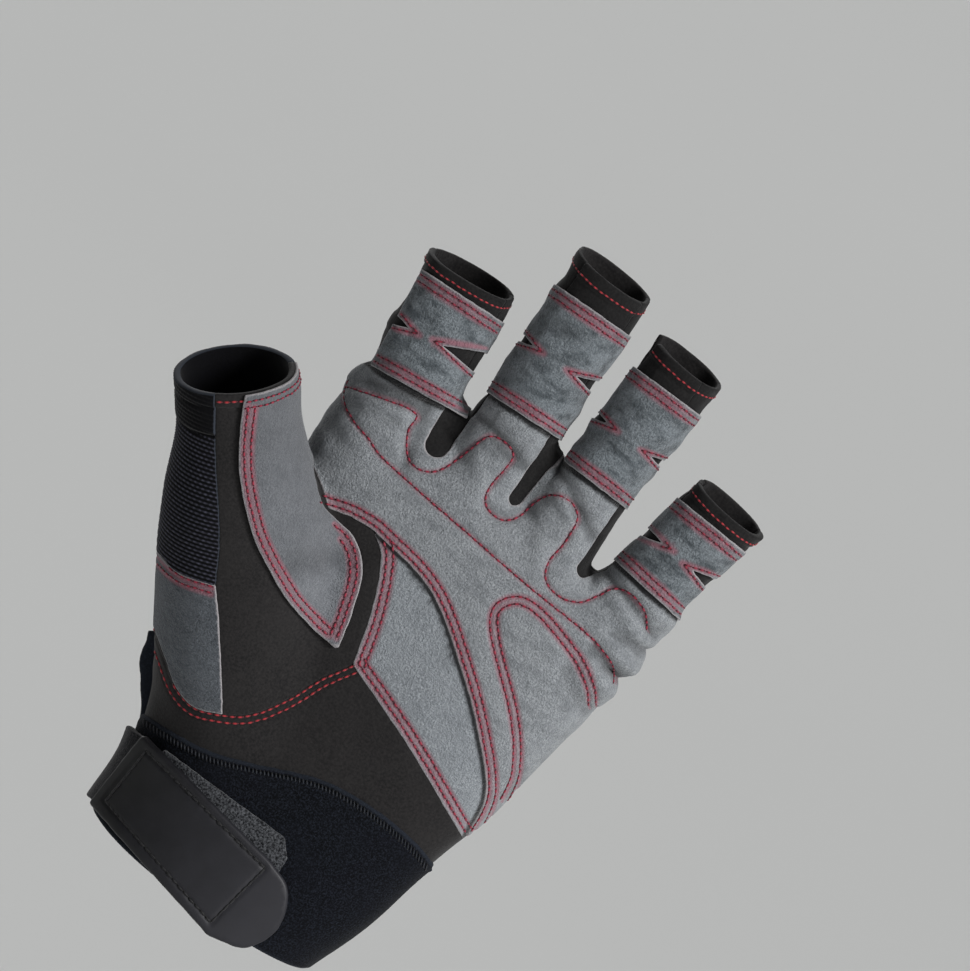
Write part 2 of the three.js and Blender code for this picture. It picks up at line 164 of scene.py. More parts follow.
def spline(rows, per):
    """Catmull-Rom through the rows, with per steps between neighbours."""
    rows = np.asarray(rows, float)
    padded = np.vstack([2 * rows[0] - rows[1], rows, 2 * rows[-1] - rows[-2]])
    out = []
    for i in range(len(rows) - 1):
        a, b, c, d = padded[i : i + 4]
        for t in np.arange(per) / per:
            straight = 2 * b + (c - a) * t
            square, cube = (2 * a - 5 * b + 4 * c - d) * t**2, (3 * b - a - 3 * c + d) * t**3
            out.append(0.5 * (straight + square + cube))
    out.append(rows[-1])
    return np.array(out)


def run_on(rows, before, after):
    """Rows with one more row at each end, straight on by a share of the last step."""
    rows = np.asarray(rows, float)
    first = rows[0] + (rows[0] - rows[1]) * before
    last = rows[-1] + (rows[-1] - rows[-2]) * after
    return np.vstack([first, rows, last])


def line_at(a, b, x):
    """Height at x of the straight line through a and b."""
    return a[1] + (x - a[0]) / (b[0] - a[0]) * (b[1] - a[1])


# The form as a distance field


def section_distance(a, b, half, depth, square):
    """Distance to a superellipse to first order, from offsets along its two axes."""
    u = np.maximum(np.abs(a / half), 1e-3)
    v = np.maximum(np.abs(b / depth), 1e-3)
    pu, pv = u**square, v**square
    total = pu + pv
    q = total ** (1 / square)
    slope = np.sqrt((pu / (u * half)) ** 2 + (pv / (v * depth)) ** 2)
    return (q - 1) * total / (q * slope)


def join(a, b, reach):
    """The union of two distance fields, rounded where they meet."""
    share = np.maximum(reach - np.abs(a - b), 0) / reach
    return np.minimum(a, b) - share * share * reach / 4


class Grid:
    """The grid points of a box of space."""

    def __init__(self, low, high):
        self.low = np.array(low, float)
        self.shape = tuple(int(n) for n in np.round((np.array(high, float) - self.low) / STEP) + 1)
        self.axes = [self.low[k] + STEP * np.arange(self.shape[k]) for k in range(3)]

    def window(self, box):
        """Slices of the grid points inside a box of two corners."""
        start = np.maximum(np.floor((np.array(box[0]) - self.low) / STEP).astype(int), 0)
        stop = np.minimum(np.ceil((np.array(box[1]) - self.low) / STEP).astype(int) + 1, self.shape)
        return tuple(slice(a, b) for a, b in zip(start, stop))

    def sample(self, points, values):
        """A field's trilinear values at points."""
        at = (points - self.low) / STEP
        top = np.array(self.shape) - 1.001
        at = np.clip(at, 0, top)
        cell = at.astype(int)
        f = at - cell
        total = np.zeros(len(points))
        for corner in np.ndindex(2, 2, 2):
            weight = np.prod([f[:, k] if corner[k] else 1 - f[:, k] for k in range(3)], axis=0)
            i, j, k = (cell[:, n] + corner[n] for n in range(3))
            total += weight * values[i, j, k]
        return total


grid = Grid((-79, -44, -14), (66, 28, 177))
FAR = 20.0


def chord_tube(rows, box, per=12):
    """Distance to a tube whose sections run across the hand, in a window of the grid."""
    table = spline(rows, per)
    window = grid.window(box)
    xs, ys, zs = (grid.axes[k][window[k]] for k in range(3))
    left, right = table[:, 0:2] / (1, COS), table[:, 2:4] / (1, COS)
    span = right - left
    place = np.empty((len(xs), len(zs)))
    for i, x in enumerate(xs):
        height = left[:, 1] + (x - left[:, 0]) / span[:, 0] * span[:, 1]
        place[i] = np.interp(zs, np.maximum.accumulate(height), np.arange(len(table)))
    low = np.minimum(place.astype(int), len(table) - 2)
    share = (place - low)[..., None]
    row = table[low] * (1 - share) + table[low + 1] * share
    half = np.hypot(row[..., 2] - row[..., 0], (row[..., 3] - row[..., 1]) / COS) / 2
    across = (row[..., 2:4] - row[..., 0:2]) / (1, COS) / (2 * half[..., None])
    middle = (row[..., 2:4] + row[..., 0:2]) / 2 / (1, COS)
    a = (xs[:, None] - middle[..., 0]) * across[..., 0] + (zs[None, :] - middle[..., 1]) * across[..., 1]
    field = section_distance(
        a[:, None, :], ys[None, :, None], half[:, None, :], row[..., 4][:, None, :], row[..., 5][:, None, :]
    )
    return window, field.astype(np.float32), left, right


# The cloth between two fingers: x, rise and half width
WEB_RISES = [(-12.6, 4.5, 4.5), (9.8, 12.0, 3.4), (31.8, -5.0, 3.6)]


def hand_field():
    """Distance to the palm and the wrist."""
    rows = run_on(HAND_ROWS, 1.0, 0)[:-1]
    window, field, left, right = chord_tube(rows, ((-50, -28, -14), (66, 28, 130)))
    xs, zs = grid.axes[0][window[0]], grid.axes[2][window[2]]
    rise = sum(height * np.exp(-(((xs - x) / half) ** 4)) for x, height, half in WEB_RISES)
    over = zs[None, :] - (line_at(left[-1], right[-1], xs) + rise)[:, None]
    values = np.full(grid.shape, FAR, np.float32)
    values[window] = -join(-field, -over[:, None, :].astype(np.float32), 4)
    return values


def finger_field(name):
    """A finger's window of the grid, and the distance to it there."""
    rows = [(*row[:4], row[4] * FINGER_DEPTH, FINGER_SQUARE) for row in FINGER_ROWS[name]]
    rows = run_on(rows, 0, 0.5)[1:]
    x = [row[0] for row in rows] + [row[2] for row in rows]
    box = ((min(x) - 9, -18, 86), (max(x) + 9, 18, 177))
    window, field, left, right = chord_tube(rows, box)
    xs, zs = grid.axes[0][window[0]], grid.axes[2][window[2]]
    under = line_at(left[0], right[0], xs)[:, None] - zs[None, :]
    return window, np.maximum(field, under[:, None, :].astype(np.float32))


def thumb_centre(row):
    x, z, _, forward, _ = row
    return upright((x, -math.tan(LEAN) * z - forward * THUMB_FORWARD, z))


thumb_middle = thumb_centre(THUMB_ROWS[2])
thumb_end = thumb_centre(THUMB_ROWS[-1])
thumb_axis = (thumb_end - thumb_middle) / np.linalg.norm(thumb_end - thumb_middle)
thumb_across = np.cross(thumb_axis, upright((0, -1, 0)))
thumb_across /= np.linalg.norm(thumb_across)
thumb_back = np.cross(thumb_axis, thumb_across)


def thumb_rows():
    """Along, across, back, half width and half depth of the thumb's smooth centre line."""
    rows = []
    for row in THUMB_ROWS:
        offset = thumb_centre(row) - thumb_middle
        rows.append((offset @ thumb_axis, offset @ thumb_across, offset @ thumb_back, row[2], row[4]))
    return spline(run_on(rows, 0, 1)[1:], 10)


def thumb_field():
    """Distance to the thumb, from sections square to its axis."""
    table = thumb_rows()
    window = grid.window(((-79, -44, 14), (8, 18, 124)))
    xs, ys, zs = np.ix_(*(grid.axes[k][window[k]] for k in range(3)))
    along, across, back = (
        ((xs - thumb_middle[0]) * d[0] + (ys - thumb_middle[1]) * d[1] + (zs - thumb_middle[2]) * d[2])
        for d in (thumb_axis, thumb_across, thumb_back)
    )
    ca, cb, half, depth = (np.interp(along, table[:, 0], table[:, k]) for k in range(1, 5))
    field = section_distance(across - ca, back - cb, half, depth, THUMB_SQUARE)
    field = -join(-field, along - table[0, 0], 6)
    values = np.full(grid.shape, 2 * FAR, np.float32)
    values[window] = field
    return values


hand = hand_field()
thumb = thumb_field()
fingers = {name: finger_field(name) for name in FINGER_ROWS}
palm_form = join(hand, thumb, 5.0).astype(np.float32)
form = palm_form.copy()
for window, field in fingers.values():
    form[window] = join(form[window], field, 3.0)


def own_finger(name):
    """The palm's form with one finger only, and the nearest other finger, in its window."""
    window, field = fingers[name]
    own = join(palm_form[window], field, 3.0)
    others = np.full(grid.shape, FAR, np.float32)
    for other, (place, values) in fingers.items():
        if other != name:
            others[place] = np.minimum(others[place], values)
    return window, own, others[window]


# Surfaces


def surface(values, low, level):
    """Points and triangles of the surface where a field has this level."""
    v = values - level
    inside = v < 0
    nx, ny, nz = v.shape
    count = np.zeros((nx - 1, ny - 1, nz - 1), np.uint8)
    for i, j, k in np.ndindex(2, 2, 2):
        count += inside[i : nx - 1 + i, j : ny - 1 + j, k : nz - 1 + k]
    active = (count > 0) & (count < 8)
    cells = np.argwhere(active)
    index = np.full(active.shape, -1, np.int32)
    index[active] = np.arange(len(cells))
    total = np.zeros((len(cells), 3))
    hits = np.zeros(len(cells))
    corners = [np.array(c) for c in np.ndindex(2, 2, 2)]
    for a in corners:
        for b in corners:
            if (b - a).sum() == 1 and (b >= a).all():
                va, vb = (v[tuple((cells + c).T)] for c in (a, b))
                cut = (va < 0) != (vb < 0)
                t = va[cut] / (va[cut] - vb[cut])
                total[cut] += a + t[:, None] * (b - a)
                hits[cut] += 1
    points = low + STEP * (cells + total / hits[:, None])
    quads = []
    for axis in range(3):
        one = np.eye(3, dtype=int)
        u, w = one[(axis + 1) % 3], one[(axis + 2) % 3]
        ahead = np.roll(inside, -1, axis)
        change = inside != ahead
        change[tuple(slice(-1, None) if k == axis else slice(None) for k in range(3))] = False
        at = np.argwhere(change)
        at = at[(at > 0).all(1) & (at < np.array(v.shape) - 1).all(1)]
        ring = [index[tuple((at - d).T)] for d in (0 * u, u, u + w, w)]
        quad = np.stack(ring, 1)
        outward = inside[tuple(at.T)]
        quad[~outward] = quad[~outward][:, ::-1]
        quads.append(quad)
    quads = np.vstack(quads)
    p = points[quads]
    short = ((p[:, 0] - p[:, 2]) ** 2).sum(1) < ((p[:, 1] - p[:, 3]) ** 2).sum(1)
    halves = [(short, [0, 1, 2]), (short, [0, 2, 3]), (~short, [0, 1, 3]), (~short, [1, 2, 3])]
    return points, np.vstack([quads[chosen][:, order] for chosen, order in halves])


def smoothed(points, tris, rounds):
    """Points moved halfway to the mean of their neighbours."""
    ends = np.concatenate([tris[:, [0, 1]], tris[:, [1, 2]], tris[:, [2, 0]]])
    count = np.bincount(ends[:, 0], minlength=len(points)) + 1e-9
    for _ in range(rounds):
        mean = np.stack([np.bincount(ends[:, 0], points[ends[:, 1], k], len(points)) for k in range(3)], 1)
        points = 0.5 * points + 0.5 * mean / count[:, None]
    return points


def normals_of(points, tris):
    a, b, c = (points[tris[:, k]] for k in range(3))
    face = np.cross(b - a, c - a)
    total = np.stack([np.bincount(tris.ravel(), np.repeat(face[:, k], 3), len(points)) for k in range(3)], 1)
    return total / (np.linalg.norm(total, axis=1)[:, None] + 1e-12)


def form_surface(window, values, level):
    """A smooth, even surface of a field's window at this level."""
    low = np.array([grid.axes[k][window[k].start] for k in range(3)])
    points, tris = surface(values, low, level)
    points = smoothed(points, tris, 2)
    part = Grid(low, low + STEP * (np.array(values.shape) - 1))
    reach = STEP * np.eye(3)
    for _ in range(2):
        slope = np.stack(
            [part.sample(points + d, values) - part.sample(points - d, values) for d in reach], 1
        )
        slope /= 2 * STEP
        miss = part.sample(points, values) - level
        points = points - slope * (miss / np.maximum((slope**2).sum(1), 0.2))[:, None]
    return points, tris


def compact(points, tris):
    """The surface without the points that no triangle uses."""
    used, where = np.unique(tris, return_inverse=True)
    return points[used], where.reshape(-1, 3)


SNAP = 0.25  # a corner moves onto a cut that is nearer than this share of a side


def clip(points, tris, keep):
    """The part of a surface where keep(points) is above zero, cut sharply along its edge."""
    value = keep(points)
    near = (value[tris] > -3 * STEP).any(1)
    points, tris = compact(points, tris[near])
    value = keep(points)
    pairs = np.concatenate([tris[:, [0, 1]], tris[:, [1, 2]], tris[:, [2, 0]]])
    pairs = np.sort(pairs[(value[pairs[:, 0]] > 0) != (value[pairs[:, 1]] > 0)], axis=1)
    if len(pairs):
        pairs = np.unique(pairs, axis=0)
        a, b = pairs.T
        t = value[a] / (value[a] - value[b])
        cut = points[a] + t[:, None] * (points[b] - points[a])
        for end, close in ((a, t < SNAP), (b, t > 1 - SNAP)):
            points[end[close]] = cut[close]
            value[end[close]] = 0
    sign = np.sign(value).astype(int)
    pairs = pairs[sign[pairs[:, 0]] * sign[pairs[:, 1]] < 0]
    a, b = pairs.T
    t = value[a] / (value[a] - value[b])
    cut = points[a] + t[:, None] * (points[b] - points[a])
    size = len(points)
    keys = a * size + b
    order = np.argsort(keys)
    keys = keys[order]
    points = np.vstack([points, cut[order]])

    def crossing(p, q):
        return size + np.searchsorted(keys, np.minimum(p, q) * size + np.maximum(p, q))

    state = sign[tris]
    out = [tris[(state.min(1) >= 0) & (state.max(1) > 0)]]
    for turn in range(3):
        turned = np.roll(tris, -turn, axis=1)
        s = np.roll(state, -turn, axis=1)
        p, q, r = turned.T
        m = (s[:, 0] > 0) & (s[:, 1] < 0) & (s[:, 2] < 0)
        out.append(np.stack([p[m], crossing(p[m], q[m]), crossing(p[m], r[m])], 1))
        m = (s[:, 0] < 0) & (s[:, 1] > 0) & (s[:, 2] > 0)
        e, f = crossing(p[m], q[m]), crossing(p[m], r[m])
        out += [np.stack([e, q[m], r[m]], 1), np.stack([e, r[m], f], 1)]
        m = (s[:, 0] > 0) & (s[:, 1] < 0) & (s[:, 2] == 0)
        out.append(np.stack([p[m], crossing(p[m], q[m]), r[m]], 1))
        m = (s[:, 0] > 0) & (s[:, 1] == 0) & (s[:, 2] < 0)
        out.append(np.stack([p[m], q[m], crossing(p[m], r[m])], 1))
    return compact(points, np.vstack(out))


def biggest(points, tris):
    """The largest connected part of a surface."""
    label = np.arange(len(points))
    ends = np.concatenate([tris[:, [0, 1]], tris[:, [1, 2]]])
    while True:
        low = np.minimum(label[ends[:, 0]], label[ends[:, 1]])
        new = label.copy()
        np.minimum.at(new, ends[:, 0], low)
        np.minimum.at(new, ends[:, 1], low)
        new = new[new]
        if (new == label).all():
            break
        label = new
    names, count = np.unique(label[tris[:, 0]], return_counts=True)
    return compact(points, tris[label[tris[:, 0]] == names[count.argmax()]])


def edge_loop(tris):
    """Directed edges that only one triangle has."""
    pairs = np.concatenate([tris[:, [0, 1]], tris[:, [1, 2]], tris[:, [2, 0]]])
    size = tris.max() + 1
    alone = ~np.isin(pairs[:, 0] * size + pairs[:, 1], pairs[:, 1] * size + pairs[:, 0])
    return pairs[alone]


RIM_ANGLES = [math.radians(a) for a in (52, 18, -18, -52)]


def thicken(points, normals, tris, outer, inner, rim):
    """A closed body from a surface: points, triangles, the share of edge, and its outer points."""
    size = len(points)
    top = points + normals * outer[:, None]
    bottom = points - normals * inner[:, None]
    loop = edge_loop(tris)
    away = np.cross(points[loop[:, 1]] - points[loop[:, 0]], normals[loop[:, 0]] + normals[loop[:, 1]])
    away /= np.linalg.norm(away, axis=1)[:, None] + 1e-12
    rimmed = np.unique(loop)
    total = np.zeros((size, 3))
    np.add.at(total, loop[:, 0], away)
    np.add.at(total, loop[:, 1], away)
    total = total[rimmed]
    total /= np.linalg.norm(total, axis=1)[:, None] + 1e-9
    middle, half = (top[rimmed] + bottom[rimmed]) / 2, (top[rimmed] - bottom[rimmed]) / 2
    where = np.full(size, -1)
    where[rimmed] = np.arange(len(rimmed))
    rings = [middle + half * math.sin(a) + total * rim * math.cos(a) for a in RIM_ANGLES]
    a, b = loop[:, 0], loop[:, 1]
    layers = [(a, b)]
    for k in range(len(rings)):
        start = 2 * size + k * len(rimmed)
        layers.append((start + where[a], start + where[b]))
    layers.append((size + a, size + b))
    faces = [tris, tris[:, ::-1] + size]
    for (a0, b0), (a1, b1) in zip(layers, layers[1:]):
        faces += [np.stack([b0, a0, a1], 1), np.stack([b0, a1, b1], 1)]
    edge = np.zeros(2 * size + len(rings) * len(rimmed))
    edge[2 * size :] = 1
    edge[rimmed] = 0.7
    return np.vstack([top, bottom, *rings]), np.vstack(faces), edge, top


# Regions, as signed distances that are above zero inside


def area(outline):
    """Inside an outline that is drawn in the plane of the seams."""
    outline = np.asarray(outline, float)

    def inside(points):
        p = flat(points)
        nearest = np.full(len(p), 1e9)
        crossings = np.zeros(len(p), bool)
        for a, b in zip(outline, np.roll(outline, -1, axis=0)):
            side = b - a
            size = side @ side
            if size < 1e-9:
                continue
            t = np.clip((p - a) @ side / size, 0, 1)
            away = p - a - t[:, None] * side
            nearest = np.minimum(nearest, (away**2).sum(1))
            between = (a[1] > p[:, 1]) != (b[1] > p[:, 1])
            if between.any():
                x = a[0] + (p[:, 1] - a[1]) / (b[1] - a[1] + 1e-12) * side[0]
                crossings ^= between & (p[:, 0] < x)
        return np.where(crossings, 1, -1) * np.sqrt(nearest) + RAGGED * noise(points, 1.7)

    return inside


def outside(region, gap=GAP):
    return lambda points: -region(points) - gap


def both(*regions):
    return lambda points: np.minimum.reduce([region(points) for region in regions])


def either(*regions):
    return lambda points: np.maximum.reduce([region(points) for region in regions])


BACK_SEAM = SEAM_BEHIND * PALM_DEPTH
front = lambda points: BACK_SEAM - GAP - points[:, 1]
rear = lambda points: points[:, 1] - BACK_SEAM
thumb_rear = lambda points: (points - thumb_middle) @ thumb_back - SEAM_BEHIND * THUMB_DEPTH
thumb_front = outside(thumb_rear)
RIGHT_OF_THUMB = -44  # the thumb's rim cuts nothing to the right of this x
thumb_hem = lambda points: np.maximum((thumb_end - points) @ thumb_axis, points[:, 0] - RIGHT_OF_THUMB)
on_thumb = lambda points: grid.sample(points, hand) - grid.sample(points, thumb)

FINGER_BOUNDS = [-14.3, 11.2, 33.2]  # x of the lines between the fingers


def finger_of(points):
    """Each point's finger, counted from the index finger."""
    lean = 0.06 * np.maximum(points[:, 2] - 118, 0) * (points[:, 0] > 20)
    return np.searchsorted(FINGER_BOUNDS, points[:, 0] - lean)


def section_height(row, x):
    """Upright height of the line through a section's ends."""
    return line_at((row[0], row[1] / COS), (row[2], row[3] / COS), x)


def finger_hem(points):
    heights = np.stack([section_height(rows[-1], points[:, 0]) for rows in FINGER_ROWS.values()])
    return heights[finger_of(points), np.arange(len(points))] - points[:, 2]


def wrist_hem(points):
    return points[:, 2] - section_height(HAND_ROWS[0], points[:, 0])


# Seam lines, as in the part's source
THENAR_CORNER, ULNAR_CORNER = (0, 60.2), (42.6, 42.2)
LEAF_TIP, SIDE_CORNER = (-5.1, 60.9), (-36, 57.2)
arc_seam = spline(
    [
        (-42, 41.5), (-35, 36.6), (-30.2, 33.2), (-25.3, 31.7), (-20.8, 32.6), (-13.3, 37),
        (-8.1, 44.6), (-4.2, 53.4), THENAR_CORNER,
    ],
    8,
)
thenar_rise = spline([THENAR_CORNER, (-3.5, 72.5), (-8.6, 83.6), (-13.6, 87.6)], 10)
heel_top = spline([THENAR_CORNER, (20.9, 52.2), ULNAR_CORNER], 14)
web_edge = spline([(-27, 84.8), (-20, 87), (-13.6, 87.6)], 8)
palm_edge = spline([(-13.6, 87.6), (4.2, 83.9), (19.7, 73.7), (31.4, 63.8), (40.7, 53.2), ULNAR_CORNER], 14)
cuff_top = spline(
    [(-46, 22), (-19, 24.1), (-6.4, 27.8), (8.6, 33.8), (22, 35.4), (35.4, 34.2), (46, 30.5)], 10
)
leaf_left = spline(
    [
        (-56, 99.5), (-53.6, 94), (-51.2, 89.4), (-48.3, 84.6), (-44.9, 80.2), (-39.9, 75.2), (-35, 71.1),
        (-29, 67.6), (-20.6, 63.7), (-12.5, 61.7), LEAF_TIP,
    ],
    6,
)
leaf_side = spline(
    [LEAF_TIP, (-7.2, 69.5), (-10.5, 78.2), (-16.2, 83.4), (-25.8, 85.2), (-31.6, 89.6), (-34.6, 93)],
    12,
)
knit_edge = spline([(-66, 100), (-59.1, 90.4), (-52.1, 80.5), (-41.7, 67), SIDE_CORNER], 12)
knit_foot = spline([SIDE_CORNER, (-44.4, 54.9), (-53, 56.6)], 8)
side_edge = spline([SIDE_CORNER, (-28.5, 48), (-18.7, 34.8), (-16.4, 31)], 8)

cuff_front_area = area([*cuff_top, (46, -25), (-46, -25)])
cuff_back_area = area([(-50, 43), (-30, 38), (20, 33), (60, 31), (60, -25), (-50, -25)])
cuff_areas = either(both(cuff_front_area, front), both(cuff_back_area, rear))
heel_area = area([*arc_seam, *heel_top, (80, 40), (80, 10), (-95, 10), (-95, 44)])
thenar_area = area([*heel_top, *palm_edge[::-1], *thenar_rise[::-1]])
side_area = area([*side_edge, (-30, 25), (-95, 30), (-95, 56.6), *knit_foot[::-1]])
knit_front_area = area([*knit_edge, *knit_foot, (-95, 56.6), (-95, 125), (-66, 125)])
knit_back_area = area([(-33, 90), (-33, 40), (-95, 40), (-95, 125), (-40, 125)])
knit_region = both(either(both(knit_back_area, thumb_rear), knit_front_area), on_thumb)
base_area = area([*arc_seam, *thenar_rise, *web_edge[::-1], (-60, 85)])
palm_side = area([*palm_edge, (80, 42), (80, 120), (-13.6, 120)])
gusset_region = either(both(on_thumb, outside(palm_side, 0)), base_area)
leaf_area = area([*leaf_left, *leaf_side, (-37, 96), (-41, 102), (-44, 112), (-56, 112)])

# The strips between the fingers: foot, half width, and x of both sides above the foot and at the top
SLOTS = {
    "index_middle": ((-12.9, 108.6), 2.3, (-16.1, -10.1), (-22.5, -8.2)),
    "middle_ring": ((8.2, 110), 1.5, (6.7, 9.9), (6, 18)),
    "ring_pinky": ((30.4, 105.4), 1.9, (28.3, 34.9), (27.5, 50)),
}
SLOT_TOP, SHOULDER = 185, 4.6


def slot_area(foot, half, low, high):
    """A strip between two fingers, round at its foot."""
    x, z = foot
    knee, shoulder = z + 0.3 * SHOULDER, z + SHOULDER
    line = spline([(low[0], shoulder), (x - half, knee), foot, (x + half, knee), (low[1], shoulder)], 6)
    return area([*line, (high[1], SLOT_TOP), (high[0], SLOT_TOP)])


slot_areas = {name: slot_area(*row) for name, row in SLOTS.items()}

# Each finger's patch: its low and high edge, and the tip, foot and top of its two notches
PATCHES = {
    "index": (
        ((-46, 116.8), (-5, 121)), ((-46, 141.6), (-5, 142.8)),
        ((-32.5, 129.5), 126.3, 131.4), ((-25.4, 130.4), 129.6, 134.9),
    ),
    "middle": (
        ((-20, 127.6), (18, 128.8)), ((-20, 156.2), (18, 156.4)),
        ((-7.2, 142.2), 139.7, 144.7), ((3.2, 142.1), 140.3, 145.8),
    ),
    "ring": (
        ((4, 125.6), (40, 123.8)), ((4, 151.4), (40, 150.6)),
        ((16.7, 137.5), 135.4, 139.7), ((27.1, 137), 135, 139.7),
    ),
    "pinky": (
        ((31, 113.9), (62, 109.6)), ((31, 133.2), (66, 130.8)),
        ((42.4, 122.5), 120.2, 124.3), ((49.7, 121.4), 118.6, 123.7),
    ),
}
NOTCH_REACH = 9
# Each sleeve's foot, and the x of its middle
SLEEVES = {"index": (122, -28), "middle": (131, -2), "ring": (128, 22), "pinky": (116, 46)}


def patch_area(low, high, left_notch, right_notch):
    """A finger's patch, with a notch in each side."""

    def mouth(notch, reach):
        tip, foot, top = notch
        return [(tip[0] + reach, foot), tip, (tip[0] + reach, top)]

    return area(
        [
            *low, (low[1][0], right_notch[1]), *mouth(right_notch, NOTCH_REACH), (high[1][0], right_notch[2]),
            *high[::-1], (high[0][0], left_notch[2]), *mouth(left_notch, -NOTCH_REACH)[::-1],
            (low[0][0], left_notch[1]),
        ]
    )


def sleeve_area(foot, middle):
    return area([(middle - 14, foot), (middle + 14, foot), (middle + 18, SLOT_TOP), (middle - 18, SLOT_TOP)])


sleeve_areas = {name: sleeve_area(*row) for name, row in SLEEVES.items()}


# Rows of stitches, drawn in the plane of the seams


def shifted(line, distance):
    """A line moved to its left by a distance."""
    line = np.asarray(line, float)
    along = np.gradient(line, axis=0)
    along /= np.linalg.norm(along, axis=1)[:, None]
    return line + distance * np.stack([-along[:, 1], along[:, 0]], 1)


# The first row's distance from an edge, and the second row's from the first
ROW_IN, ROW_APART = 1.0, 1.55
near_row, far_row = ROW_IN, ROW_IN + ROW_APART
LOOP_LINE = spline(
    [
        (45.4, 54), (44.6, 59.2), (42.2, 64), (38.9, 68.5), (33.8, 73.8), (27.9, 78.7), (23.2, 82.9),
        (20.1, 86.4), (19.2, 89.2), (20.5, 92), (22.9, 93.7), (26, 94), (29.8, 93.5), (35.2, 92.1),
        (41.5, 89.9), (46.6, 86.7), (49.4, 83.3),
    ],
    5,
)
LONG_LINE = spline(
    [
        (-37.8, 112.2), (-37.2, 109.6), (-35.3, 107.1), (-31.4, 105.1), (-26.3, 103.7), (-21.4, 102),
        (-10.2, 100.6), (1.3, 99.4), (13.8, 98), (26.1, 96.9), (39.3, 96), (45.6, 94.6), (48.6, 93),
        (50.5, 90),
    ],
    6,
)
WAVE_LINE = spline(
    [
        (-37.3, 110.5), (-32.9, 111.8), (-27.5, 113.4), (-23.6, 114.4), (-20.3, 114.3), (-20.6, 111.4),
        (-19, 107.8), (-16.7, 105.3), (-13.9, 104.5), (-10.9, 105.5), (-8.8, 107.8), (-7.1, 112),
        (-5.9, 116.1),
        (-4.7, 119.7), (-2.2, 120.8), (0.7, 120.7), (2.6, 119.3), (2.7, 116.5), (2.2, 112), (2.3, 108.8),
        (3.8, 106.5), (7, 105.7), (10, 106.7), (11.8, 110), (12.9, 114.5), (15.3, 117.6), (19, 118.3),
        (22, 116.7), (22.9, 114.1), (23.1, 109.1), (22.6, 104.6), (23.8, 101.3), (26.6, 99.5), (30.4, 99.4),
        (33.9, 101), (36.2, 104.2), (38.1, 107.6), (40.8, 109), (44.2, 108.7), (47.5, 107.3), (49.7, 104.2),
    ],
    4,
)
double_lines = {
    "palm_edge": [shifted(np.vstack([web_edge[:-1], palm_edge]), d) for d in (near_row, far_row)],
    "thenar_rise": [shifted(thenar_rise, -d)[:-5] for d in (near_row, far_row)],
    "heel_top": [shifted(heel_top, d) for d in (near_row, far_row)],
    "leaf_left": [shifted(leaf_left, d)[6:-3] for d in (near_row, far_row)],
    "leaf_right": [shifted(leaf_side, near_row)[3:-29], shifted(leaf_side, far_row)[3:-33]],
    "arc": [shifted(arc_seam, d) for d in (-0.4, -1.9)],
    "loop": [shifted(LOOP_LINE, d) for d in (0.85, -0.85)],
    "knit_foot": [shifted(knit_foot, d) for d in (0.8, 2.2)],
}
single_lines = {"long": [LONG_LINE], "wave": [WAVE_LINE]}
suede_rows = [
    *double_lines["palm_edge"], *double_lines["thenar_rise"], *double_lines["heel_top"],
    *double_lines["loop"], LONG_LINE, WAVE_LINE,
]
leaf_rows = [*double_lines["leaf_left"], *double_lines["leaf_right"]]


LINE_REACH = 4.0


def line_distance(points, line):
    """Distance from points to an open line in the plane of the seams, up to the reach."""
    p = flat(points)
    line = np.asarray(line, float)
    low, high = line.min(0) - LINE_REACH, line.max(0) + LINE_REACH
    near = ((p > low) & (p < high)).all(1)
    q = p[near]
    nearest = np.full(len(q), LINE_REACH**2)
    for a, b in zip(line, line[1:]):
        side = b - a
        t = np.clip((q - a) @ side / max(side @ side, 1e-9), 0, 1)
        nearest = np.minimum(nearest, ((q - a - t[:, None] * side) ** 2).sum(1))
    out = np.full(len(p), LINE_REACH)
    out[near] = np.sqrt(nearest)
    return out


# Soft relief

# Folds that show in the palm side: both ends, width and height; a height below zero is a groove
FOLDS = [
    (-36, 113.5, -21, 117.2, 1.7, -1.4),
    (-35, 109.6, -23, 112, 1.6, 0.7),
    (-33.5, 101, -37, 103.5, 2.2, -0.35),
    (-34, 97.5, -37, 98.5, 1.8, 0.5),
    (-16.5, 104, -19, 117, 1.8, -0.7),
    (-8, 122.5, 5, 118.6, 1.8, -0.8),
    (-5, 116, 1, 109, 2.2, 0.5),
    (13, 123, 27, 115, 1.9, -0.9),
    (14, 119.5, 24, 113.5, 1.5, 0.6),
    (15, 112, 21, 104, 2.4, 0.5),
    (36, 109.5, 51, 104.5, 1.8, -0.9),
    (39, 106, 50, 101.8, 1.6, 0.7),
    (44, 99, 52, 98, 1.8, -0.9),
    (42, 94, 51, 92, 2.0, -0.9),
    (44, 97, 52, 95.4, 1.5, 0.7),
    (40, 87, 50, 80, 2.6, -0.6),
    (44, 90, 51, 88.5, 1.8, 0.6),
    (-12, 84, -24, 70, 3.5, -0.5),
    (-20, 82, -33, 86, 2.8, 0.4),
]

# Dips along rows of stitches: line, width and height
DIPS = [(WAVE_LINE, 1.5, -0.45), (LONG_LINE, 1.3, -0.25), (LOOP_LINE, 2.0, -0.25)]

# Bulges and dents of the outer sides: height, width and how far out
SIDE_FOLDS = {
    "ulnar": [
        (88, 2.5, 0.5), (91.8, 1.5, -1.5), (96, 2.2, 0.9), (100.7, 1.2, -1.2), (108.5, 3.2, 1.1),
        (78, 3, 0.3),
    ],
    "radial": [(129, 5, 1.0), (118, 1.4, -0.6), (113, 2.6, 1.0), (104, 3, 0.4)],
}


